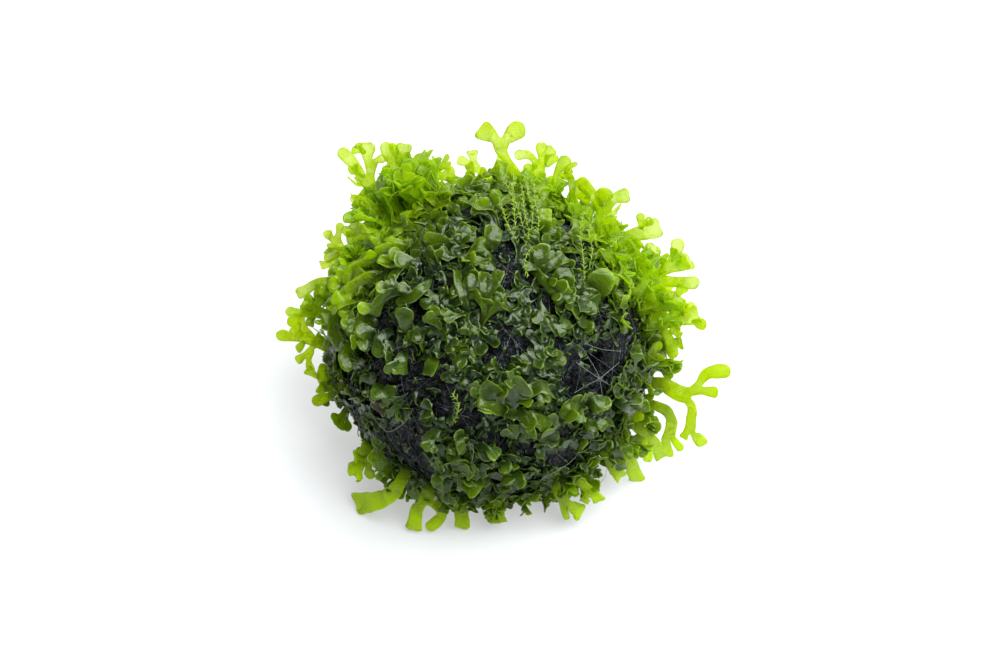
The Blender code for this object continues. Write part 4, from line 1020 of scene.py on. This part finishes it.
def ball_finish(dark, pale):
    """Matted wet fibre, nearly black, paler on its ridge tops and on some flakes: partly the fibre's own
    paler tone, partly painted glints of wet fibre.
    """
    finish = Finish("dark_wet_ball")
    place = finish.place()
    coarse = finish.grain(place, 2.0 * MM, detail=3.0)
    ridges = finish.grain(place, 0.7 * MM, detail=2.0, distortion=1.8)
    flakes = finish.node("ShaderNodeTexVoronoi", {}, {"Vector": place, "Scale": 1.0 / FLAKE_SIZE})
    middle, lean = (Value(finish, flakes.outputs[n]) for n in ("Position", "Color"))
    aside = finish.vector("SUBTRACT", place, middle)
    slope = finish.vector("SUBTRACT", lean, (0.5, 0.5, 0.5))
    tilted = finish.vector("DOT_PRODUCT", aside, slope, output="Value")
    flake = (lean * 3.0 - 1.9).clamped()
    # lit: paler and glossier on ridge tops and some flakes, partly the fibre's own tone, partly painted
    # glints
    lit = (flake + ((ridges - 0.54) * 5.0).clamped() * 0.6) * (coarse * 3.0 - 1.1).clamped()
    normal = finish.bump(ridges + tilted * FLAKE_TILT + coarse * 0.6, 0.8 * MM)
    return finish.finished(finish.shader(**{
        "Base Color": finish.blend((lit * 0.16).clamped(), dark, pale),
        "Roughness": (0.20 - lit * 0.05).clamped(),
        "Specular IOR Level": 0.22,
        "Normal": normal,
    }))


def fibre_finish(dark, pale):
    """Wet fibres, from nearly black to a bluish grey."""
    finish = Finish("wet_fibre")
    place = finish.place()
    patch = finish.grain(place, 3.5 * MM, detail=2.0)
    streak = finish.grain(place, 0.5 * MM, detail=2.0)
    share = (patch * 3.6 + streak * 3.6 - 3.7).clamped()
    return finish.finished(finish.shader(**{
        "Base Color": finish.blend(share, dark, pale),
        "Roughness": (0.12 + streak * 0.15).clamped(),
        "Specular IOR Level": 0.2,
        "Normal": finish.bump(streak, 0.25 * MM),
    }))


def thread_finish(name, colour, roughness):
    """Fine thread, a little uneven in colour along its length."""
    finish = Finish(name)
    uneven = finish.grain(finish.place(), 1.0 * MM)
    shade = finish.blend(uneven * 0.5, colour, tuple(0.55 * c for c in colour))
    return finish.finished(finish.shader(**{
        "Base Color": shade, "Roughness": (roughness + uneven * 0.15).clamped(), "Coat Weight": 0.3,
    }))


def make_piece(name, bm, finish, stands_for=()):
    """Makes a piece of a bmesh that is drawn about the ball's centre."""
    bmesh.ops.translate(bm, verts=bm.verts, vec=BALL_CENTRE)
    mesh = bpy.data.meshes.new(name)
    bm.to_mesh(mesh)
    bm.free()
    return dress(name, mesh, finish, stands_for)


def dress(name, mesh, finish, stands_for):
    """Makes an object of a mesh in its place, and ties it to the frame."""
    mesh.shade_smooth()
    mesh.materials.append(finish)
    piece = bpy.data.objects.new(name, mesh)
    bpy.context.scene.collection.objects.link(piece)
    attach(piece, BODY)
    if stands_for:
        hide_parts(*stands_for)
    return piece


def thicken(piece, smooth=True):
    """Smooths a ribbon's outline and gives it its thickness."""
    if smooth:
        outline = piece.modifiers.new("outline", "SUBSURF")
        outline.levels = outline.render_levels = 1
    solid = piece.modifiers.new("thickness", "SOLIDIFY")
    solid.thickness = settings().thalli.thickness
    solid.offset = 0.0
    flat = piece.modifiers.new("flat faces", "WEIGHTED_NORMAL")
    flat.mode = "FACE_AREA"
    flat.weight = 100


def paths_over(rows, spacing):
    """Smooth paths over the front of the ball, one through the points of each row."""
    return [rows_along([over(*point) for point in row], spacing) for row in rows]


def make_threads(name, paths, radius, finish, taper=0.0, scales=None):
    """Makes one piece of tubes along some paths, each thinner towards its end by taper."""
    curve = bpy.data.curves.new(name, "CURVE")
    curve.dimensions = "3D"
    curve.bevel_depth = radius
    curve.bevel_resolution = 0
    curve.use_fill_caps = True
    for path, scale in zip(paths, scales or [1.0] * len(paths)):
        spline = curve.splines.new("POLY")
        spline.points.add(len(path) - 1)
        for k, (point, place) in enumerate(zip(spline.points, path)):
            point.co = (*(place + BALL_CENTRE), 1.0)
            point.radius = scale * (1.0 - taper * k / (len(path) - 1))
    draft = bpy.data.objects.new(name + "_draft", curve)
    bpy.context.scene.collection.objects.link(draft)
    evaluated = draft.evaluated_get(bpy.context.evaluated_depsgraph_get())
    mesh = bpy.data.meshes.new_from_object(evaluated)
    bpy.data.objects.remove(draft)
    bpy.data.curves.remove(curve)
    mesh.name = name
    return dress(name, mesh, finish, ())


def tones():
    thalli = settings().thalli
    return tuple(thalli.old_colour), tuple(thalli.mid_colour), tuple(thalli.young_colour)


def jittered(direction, amount, rng):
    """A direction moved a little at random."""
    return (direction + Vector(rng.uniform(-amount, amount) for _ in range(3))).normalized()


def swirl(place):
    """A vector that changes smoothly from place to place, each part of it from about -1 to 1."""
    return Vector(noise.noise(place + shift) for shift in SWIRL_SHIFTS)


def lie_of_fibre(out):
    """The way in which the fibres lie at this place on the ball."""
    return out.cross(swirl(out * 1.6 + Vector((4, 0, 2)))).normalized()


def hollowed(direction, reach):
    """How far the ball reaches in this direction once the hollow is cut in."""
    inward = on_ball_seen(*HOLLOW_PLACE)
    turn = inward.to_track_quat("Z", "Y").to_matrix().transposed()
    start = turn @ (-inward * BALL_RADIUS)
    run = turn @ direction
    start = Vector(a / b for a, b in zip(start, HOLLOW_SIZE))
    run = Vector(a / b for a, b in zip(run, HOLLOW_SIZE))
    a, b, c = run.dot(run), 2 * start.dot(run), start.dot(start) - 1
    inside = b * b - 4 * a * c
    if inside <= 0:
        return reach
    near = (-b - math.sqrt(inside)) / (2 * a)
    return min(reach, near) if near > 0 else reach


def clumps(direction):
    """The height of the matted fibre at this place, from about -1 to 1."""
    warp = swirl(direction * 5.0) * 0.25
    along = direction * 22.0 + warp * 22.0
    ridge = 1.0 - abs(noise.noise(Vector((along.x, along.y, along.z * 0.45)))) * 2.4
    fine = noise.noise(direction * 55.0)
    return 0.55 * ridge + 0.45 * fine


def matted_ball(ball):
    """The ball with its clumps, its hollow and the flat spot that it rests on, finer in the bare places."""
    bm = bmesh.new()
    bmesh.ops.create_icosphere(bm, subdivisions=6, radius=1.0)
    open_places = [(on_ball_seen(r, u), (size + BARE_MARGIN) * MM) for r, u, size in BARE_PLACES]
    near_bare = [
        e for e in bm.edges
        if any((e.verts[0].co - d).length * BALL_RADIUS < reach for d, reach in open_places)
    ]
    bmesh.ops.subdivide_edges(bm, edges=near_bare, cuts=1, use_grid_fill=True)
    bmesh.ops.triangulate(bm, faces=[f for f in bm.faces if len(f.verts) > 4])
    for vert in bm.verts:
        direction = vert.co.normalized()
        reach = hollowed(direction, ball_surface(direction) + ball.lumps * clumps(direction))
        vert.co = direction * reach
        vert.co.z = max(vert.co.z, FLOOR_LEVEL)
    bmesh.ops.recalc_face_normals(bm, faces=bm.faces)
    return bm


def bundled_fibres(ball):
    """The paths of the fibres that lie on the ball in bundles, and how thick each is."""
    rng = random.Random(BALL_SEED)
    paths, scales = [], []
    for start in spread_directions(ball.bundles, *BUNDLE_HEIGHTS):
        start = jittered(start, 0.06, rng)
        turn, lean, step = rng.choice((-1, 1)), turned_about(start, rng) * 0.35, rng.uniform(0.8, 1.5) * MM
        for _ in range(ball.fibres):
            out = jittered(start, 0.035, rng)
            point = out * hollowed(out, ball_surface(out))
            arch = rng.uniform(-0.2, 0.6) * MM
            path = []
            for k in range(FIBRE_POINTS):
                rise = 0.1 * MM + arch * math.sin(math.pi * k / (FIBRE_POINTS - 1))
                path.append(point + out * rise)
                heading = (lie_of_fibre(out) * turn + lean + turned_about(out, rng) * 0.15).normalized()
                out = (point + heading * step).normalized()
                point = out * hollowed(out, ball_surface(out) + 0.5 * MM * clumps(out))
            if min(p.z for p in path) > FLOOR_LEVEL + GROUND_GAP:
                paths.append(path)
                scales.append(rng.uniform(0.3, 1.0) ** 1.5)
    return paths, scales


class MakeBall(Operator):
    """Add the rough, fibrous ball with its hollow"""

    bl_idname = "subwassertang.make_ball"
    bl_label = "Dark Ball"

    def execute(self, context):
        ball = settings().ball
        colours = tuple(ball.dark), tuple(ball.pale)
        make_piece("dark_ball_fibre", matted_ball(ball), ball_finish(*colours), ["dark_ball"])
        paths, scales = bundled_fibres(ball)
        finish = fibre_finish(*colours)
        make_threads("ball_fibres", paths, ball.fibre_radius, finish, 0.6, scales)
        return {"FINISHED"}


class MakeCoat(Operator):
    """Add the short thalli that cover the ball, one piece for each cushion"""

    bl_idname = "subwassertang.make_coat"
    bl_label = "Short Thalli"

    def execute(self, context):
        thalli = settings().thalli
        finish = thallus_finish("short_thallus", tones())
        seeds = spread_directions(CUSHION_COUNT, 1.0, LOWEST_CUSHION)
        rng = random.Random(COAT_SEED)
        growers = [Grower(bmesh.new(), rng, COAT_ROWS, thalli.ruffle) for _ in seeds]
        low = [Grower(bmesh.new(), rng, LOW_ROWS, thalli.ruffle) for _ in seeds]

        def plant(out, slope, size, generations, tint, spared=1.0, upright=0.45, among=growers):
            tree = short_thallus(out, rng, slope, size, generations, upright)
            bareness = max(bare_at(tip.normalized()) for tip in (out, *tips_of(tree)))
            if rng.random() >= bareness * spared:
                nearest = max(range(len(seeds)), key=lambda k: out.dot(seeds[k]))
                among[nearest].plant(tree, COAT_FOOT * min(1.0, size), tint)

        def sow(count, slopes, sizes, generations, tints, spared, among=growers):
            for out in spread_directions(count, 1.0, LOWEST_CUSHION - 0.04):
                out = jittered(out, 1.6 / math.sqrt(count), rng)
                slope = math.radians(rng.uniform(*slopes)) * standing(out)
                size, tint = rng.uniform(*sizes), rng.uniform(*tints)
                plant(out, slope, size, rng.choice(generations), tint, spared, among=among)

        sow(thalli.old_count, (5, 30), (0.40, 0.70), (0, 1, 1), (-0.4, 0.4), 0.8, low)
        sow(thalli.crumb_count, (5, 60), (0.18, 0.36), (0,), (-0.2, 1.2), 0.6, low)
        sow(thalli.low_count, (18, 46), (0.60, 0.98), (1, 2, 2), (0.0, 0.7), 1.0, low)
        sow(thalli.high_count, (40, 80), (0.75, 1.10), (1, 2, 2), (0.3, 1.0), 1.0)
        for first, last, count, sizes in OUTLINE_THALLI:
            for _ in range(count):
                angle = math.radians(rng.uniform(first, last))
                out = seen(math.cos(angle), math.sin(angle), rng.uniform(-0.30, 0.22)).normalized()
                slope = math.radians(rng.uniform(60, 90))
                plant(out, slope, rng.uniform(*sizes), 2, rng.uniform(0.6, 1.2), 1.0, rng.uniform(0.6, 1.0))
        for k, grower in enumerate(growers, 1):
            cushion = [f"cushion_{k:02d}"]
            thicken(make_piece(f"short_thalli_{k:02d}", grower.bm, finish, cushion))
        for k, grower in enumerate(low, 1):
            thicken(make_piece(f"old_thalli_{k:02d}", grower.bm, finish), smooth=False)
        return {"FINISHED"}


class MakeFrontThalli(Operator):
    """Add the thalli that stand out on the front, and the old brown one"""

    bl_idname = "subwassertang.make_front_thalli"
    bl_label = "Front Thalli"

    def execute(self, context):
        thalli = settings().thalli
        rng = random.Random(FRONT_SEED)
        grower = Grower(bmesh.new(), rng, FRONT_ROWS, thalli.ruffle)
        for row in FRONT_THALLI:
            tree = thallus(row, over)
            grower.plant(tree, FRONT_FOOT, rng.uniform(0.3, 0.9))
            for lobe in leaflets_on({**tree, "root": tree["points"][0]}, None, rng):
                grower.plant(raised(lobe, GROUND_GAP), LEAFLET_FOOT, rng.uniform(0.2, 1.0))
        green = thallus_finish("front_thallus", tones())
        thicken(make_piece("front_thalli", grower.bm, green))

        grower = Grower(bmesh.new(), rng, FRONT_ROWS, thalli.ruffle)
        grower.plant(thallus(OLD_THALLUS, over), FRONT_FOOT, 0.4)
        brown = thallus_finish("old_thallus", BROWNS)
        thicken(make_piece("old_thallus", grower.bm, brown))
        return {"FINISHED"}


class MakeFronds(Operator):
    """Add the long fronds that stand out round the ball"""

    bl_idname = "subwassertang.make_fronds"
    bl_label = "Long Fronds"

    def execute(self, context):
        finish = thallus_finish("long_frond", tones())
        rng = random.Random(FROND_SEED)
        trees = {name: thallus(row, seen) for name, row in FRONDS.items()}
        back_rng = random.Random(BACK_SEED)
        behind = [d for d in spread_directions(BACK_PLACES, *BACK_HEIGHTS) if d.dot(NEARER) < BACK_FACING]
        for k, direction in enumerate(behind[:BACK_FRONDS], 1):
            sideways = turned_about(direction, back_rng)
            trees[f"frond_back_{k:02d}"] = back_frond(direction, sideways, back_rng)
        for name, tree in trees.items():
            ruffle = settings().thalli.ruffle * 1.1
            grower = Grower(bmesh.new(), rng, FROND_ROWS, ruffle, spatula=1.14, flare=0.8, ragged=0.14)
            tree = rooted(tree, CUSHION_DEPTH)
            grower.plant(tree, FROND_FOOT, rng.uniform(0.6, 1.0))
            if name in LEAFY_FRONDS:
                for lobe in leaflets_on({**tree, "root": tree["points"][0]}, None, rng):
                    grower.plant(lobe, LEAFLET_FOOT, rng.uniform(0.4, 1.1))
            thicken(make_piece("green_" + name, grower.bm, finish, [name]))
        return {"FINISHED"}


class MakeNet(Operator):
    """Add the fine knotted net that holds the thalli to the ball"""

    bl_idname = "subwassertang.make_net"
    bl_label = "Net"

    def execute(self, context):
        threads = settings().threads
        finish = thread_finish("clear_nylon", NYLON, 0.25)
        paths = []
        for hand in (-1, 1):
            for k in range(threads.net_threads):
                start = 2 * math.pi * k / threads.net_threads
                path = []
                for step in range(NET_POINTS):
                    height = math.radians(NET_LOWEST + NET_SPAN * step / (NET_POINTS - 1))
                    turn = start + hand * NET_TWIST * math.log(math.tan(math.pi / 4 + height / 2))
                    level = math.cos(height)
                    out = Vector((level * math.cos(turn), level * math.sin(turn), math.sin(height)))
                    path.append(out * (ball_surface(out) + NET_GAP))
                paths.append([p for p in path if p.z > FLOOR_LEVEL + GROUND_GAP])
        make_threads("nylon_net", paths, threads.net_radius, finish)
        pale = thread_finish("pale_nylon", PALE_NYLON, 0.25)
        across = paths_over(HOLLOW_THREADS, THREAD_SPACING)
        make_threads("hollow_threads", across, 1.5 * threads.net_radius, pale)
        return {"FINISHED"}


class MakeMoss(Operator):
    """Add the feathery strands of moss and the loose threads"""

    bl_idname = "subwassertang.make_moss"
    bl_label = "Moss and Threads"

    def execute(self, context):
        threads = settings().threads
        rng = random.Random(MOSS_SEED)
        green = thread_finish("moss_green", MOSS_GREEN, 0.4)
        strands = paths_over(MOSS_STRANDS, MOSS_SPACING)
        make_threads("moss_stems", strands, MOSS_STEM, green)
        bm = bmesh.new()
        for strand in strands:
            for k, (here, ahead) in enumerate(zip(strand, strand[1:])):
                forward = (ahead - here).normalized()
                spin = Matrix.Rotation(2.4 * k + rng.uniform(-0.6, 0.6), 3, forward)
                aside = spin @ forward.orthogonal().normalized()
                leaf = (forward * rng.uniform(0.2, 1.1) + aside).normalized()
                length = threads.leaflet * rng.uniform(0.6, 1.5)
                turn = leaf.to_track_quat("Z", "Y").to_matrix().to_4x4()
                squeeze = Matrix.Diagonal((1.0, LEAFLET_FLATNESS, 1.0, 1.0))
                bmesh.ops.create_cone(
                    bm, cap_ends=True, segments=4, radius1=LEAFLET_BASE, radius2=LEAFLET_TIP, depth=length,
                    matrix=Matrix.Translation(here + leaf * length / 2) @ turn @ squeeze,
                )
        make_piece("moss_leaflets", bm, green)

        grey = thread_finish("loose_thread", THREAD_GREY, 0.4)
        loose = paths_over(LOOSE_THREADS, THREAD_SPACING)
        make_threads("loose_threads", loose, LOOSE_THREAD, grey, taper=0.6)
        return {"FINISHED"}


class MakeStage(Operator):
    """Add the white floor, the soft lights and the camera"""

    bl_idname = "subwassertang.make_stage"
    bl_label = "Stage"

    def execute(self, context):
        stage = settings().stage
        scene = context.scene
        white = Finish("white_floor")
        shade = white.grain(white.place(), 60 * MM)
        bm = bmesh.new()
        bmesh.ops.create_grid(bm, x_segments=2, y_segments=2, size=FLOOR_SIZE)
        mesh = bpy.data.meshes.new("floor")
        bm.to_mesh(mesh)
        bm.free()
        mesh.transform(Matrix.Translation((0, 0, -FLOOR_DROP)))
        mesh.materials.append(white.finished(white.shader(**{
            "Base Color": white.blend(shade * 0.3, *FLOOR_TONES),
            "Roughness": 0.6,
            "Emission Color": WHITE,
            "Emission Strength": stage.floor_glow,
        })))
        floor = bpy.data.objects.new("floor", mesh)
        scene.collection.objects.link(floor)

        add_light("key_light", stage.key_power, KEY_SIZE, KEY_PLACE)
        add_light("back_light", stage.back_power, BACK_SIZE, BACK_PLACE)

        world = scene.world or bpy.data.worlds.new("surroundings")
        scene.world = world
        world.use_nodes = True
        sky = world.node_tree.nodes["Background"]
        sky.inputs["Color"].default_value = SKY_COLOUR
        sky.inputs["Strength"].default_value = stage.surround

        camera = bpy.data.objects.new("camera", bpy.data.cameras.new("camera"))
        camera.data.sensor_width = SENSOR_WIDTH
        camera.data.lens = SENSOR_WIDTH * stage.distance / VIEW_WIDTH
        camera.data.clip_start, camera.data.clip_end = 0.01, 20.0
        aim = BALL_CENTRE + seen(*VIEW_MIDDLE)
        camera.location = aim + NEARER * stage.distance
        camera.rotation_mode = "QUATERNION"
        camera.rotation_quaternion = (-NEARER).to_track_quat("-Z", "Y")
        scene.collection.objects.link(camera)
        scene.camera = camera
        scene.view_settings.view_transform = "Standard"
        scene.view_settings.look = "None"
        return {"FINISHED"}


def add_light(name, power, size, place):
    """Adds a soft rectangular light that points at the ball."""
    lamp = bpy.data.lights.new(name, "AREA")
    lamp.shape = "RECTANGLE"
    lamp.size, lamp.size_y = size
    lamp.energy = power
    light = bpy.data.objects.new(name, lamp)
    light.location = place
    light.rotation_mode = "QUATERNION"
    light.rotation_quaternion = (BALL_CENTRE - Vector(place)).to_track_quat("-Z", "Y")
    light.visible_camera = False
    bpy.context.scene.collection.objects.link(light)


class BallPanel(Panel):
    """The ball's settings, and a button for each piece"""

    bl_idname = "VIEW3D_PT_subwassertang_ball"
    bl_label = "Subwassertang Ball"
    bl_space_type = "VIEW_3D"
    bl_region_type = "UI"
    bl_category = "Subwassertang"

    def draw(self, context):
        for part in ("ball", "thalli", "threads", "stage"):
            group = getattr(settings(), part)
            box = self.layout.box()
            for name in group.__annotations__:
                box.prop(group, name)
        for operator in OPERATORS:
            self.layout.operator(operator.bl_idname)


class SubwassertangSettings(PropertyGroup):
    """All the settings of the ball."""

    ball: PointerProperty(type=BallSettings)
    thalli: PointerProperty(type=ThalliSettings)
    threads: PointerProperty(type=ThreadSettings)
    stage: PointerProperty(type=StageSettings)


OPERATORS = (MakeStage, MakeBall, MakeCoat, MakeFrontThalli, MakeFronds, MakeNet, MakeMoss)
GROUPS = (BallSettings, ThalliSettings, ThreadSettings, StageSettings, SubwassertangSettings)


def register():
    for made in (*GROUPS, *OPERATORS, BallPanel):
        bpy.utils.register_class(made)
    bpy.types.Scene.subwassertang_ball = PointerProperty(type=SubwassertangSettings)


def unregister():
    del bpy.types.Scene.subwassertang_ball
    for made in reversed((*GROUPS, *OPERATORS, BallPanel)):
        bpy.utils.unregister_class(made)


def main():
    register()
    for operator in OPERATORS:
        group, name = operator.bl_idname.split(".")
        getattr(getattr(bpy.ops, group), name)()


if __name__ == "__main__":
    main()
